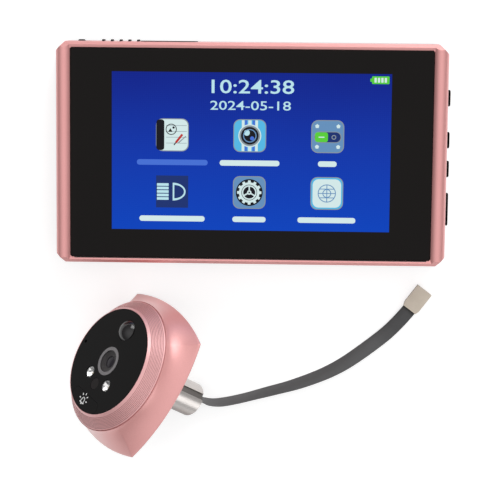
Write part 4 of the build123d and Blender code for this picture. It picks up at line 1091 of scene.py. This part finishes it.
lamp_places = ((-5.8, -7.0), (5.8, -7.0))
bullets = carry(gather("lamp_bullets", [bullet(x, y) for x, y in lamp_places]))
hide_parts("night_lamps")
cups = [cup(x, y) for x, y in lamp_places]
cups += [tile("chip", 0.7, 0.7, x, y, cup_floor, 0.25, 0.1, chip_yellow, 20.0) for x, y in lamp_places]
lamp_cups = carry(gather("lamp_cups", cups))
tell(lamp_cups)

# %% [markdown]
# The lens sits in a grey ring. Inside it low steps lead down to the front glass, each with a thin edge
# that catches light, and the glass has a dark, slightly purple coating.

# %% Lens
barrel_radius, barrel_foot, first_step = 3.85, -6.8, -0.29
step_width, step_drop = 0.34, 0.13
steps = [(barrel_radius, barrel_foot), (barrel_radius, -0.35), (3.79, first_step)]
for index in range(5):
    radius = barrel_radius - step_width * (index + 1)
    height = first_step - step_drop * index
    steps += [(radius + 0.07, height), (radius, height - 0.05), (radius, height - step_drop)]
steps += [(2.08, -0.94), (2.08, -1.55), (1.55, -1.55), (1.55, -5.8), (3.0, -5.8), (3.0, barrel_foot),
          (barrel_radius, barrel_foot)]
lens_steps = carry(lathe("lens_steps", steps, lens_black, 64))
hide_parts("lens_barrel")
coated = Finish("coated_glass", Specular_IOR_Level=0.12)
wash = coated.noise(0.002)
coated.feed(Base_Color=coated.blend(wash, (0.02, 0.019, 0.022), (0.036, 0.032, 0.04)),
            Roughness=0.06 + wash * 0.1)
glass_top, glass_ball, flatness, glass_turn = -0.62, 3.25, 0.6, 38.4
crown = rounded_end(glass_ball, glass_top, glass_ball * flatness, glass_turn, 8)
crown += [(2.02, -1.2), (2.02, -1.5), (0.0, -1.5)]
front_glass = carry(lathe("front_glass", crown, coated.material, 48))
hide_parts("lens_glass")
tell(front_glass)

# %% [markdown]
# The bell button carries a small printed bell with rays, in white ink. It is drawn from thin bars that
# stand a hair above the button's face, and it goes down with it.

# %% Printed bell
white_ink = moulded("white_ink", (0.95, 0.95, 0.95), (0.88, 0.88, 0.88), 0.5)
ink, stroke = 0.02, 0.34
bell_x, bell_y = -0.9, -15.95
ray_reach, ray_start, ray_turn = 2.15, 2.0, 44.0
outline = [(-1.25, -1.0), (1.25, -1.0), (0.85, -0.5), (0.8, 0.2), (0.5, 0.75), (0.0, 0.95), (-0.5, 0.75),
           (-0.8, 0.2), (-0.85, -0.5), (-1.25, -1.0)]
strokes = []
for (x0, y0), (x1, y1) in zip(outline, outline[1:]):
    length = math.hypot(x1 - x0, y1 - y0) + 0.3
    strokes.append(tile("stroke", length, stroke, (x0 + x1) / 2, (y0 + y1) / 2, 0.0, ink, 0.0, white_ink,
                        math.degrees(math.atan2(y1 - y0, x1 - x0))))
strokes.append(tile("clapper", 0.8, 0.3, 0.0, -1.4, 0.0, ink, 0.1, white_ink))
for index in range(5):
    turn = ray_start + ray_turn * index
    x, y = around(ray_reach, turn)
    strokes.append(tile("ray", 0.75, 0.4, x, 0.1 + y, 0.0, ink, 0.0, white_ink, turn))
printed_bell = gather("printed_bell", strokes)
printed_bell.data.transform(Matrix.Translation((bell_x * mm, bell_y * mm, 0.0)))
carry(printed_bell, "bell_button")
tell(printed_bell)
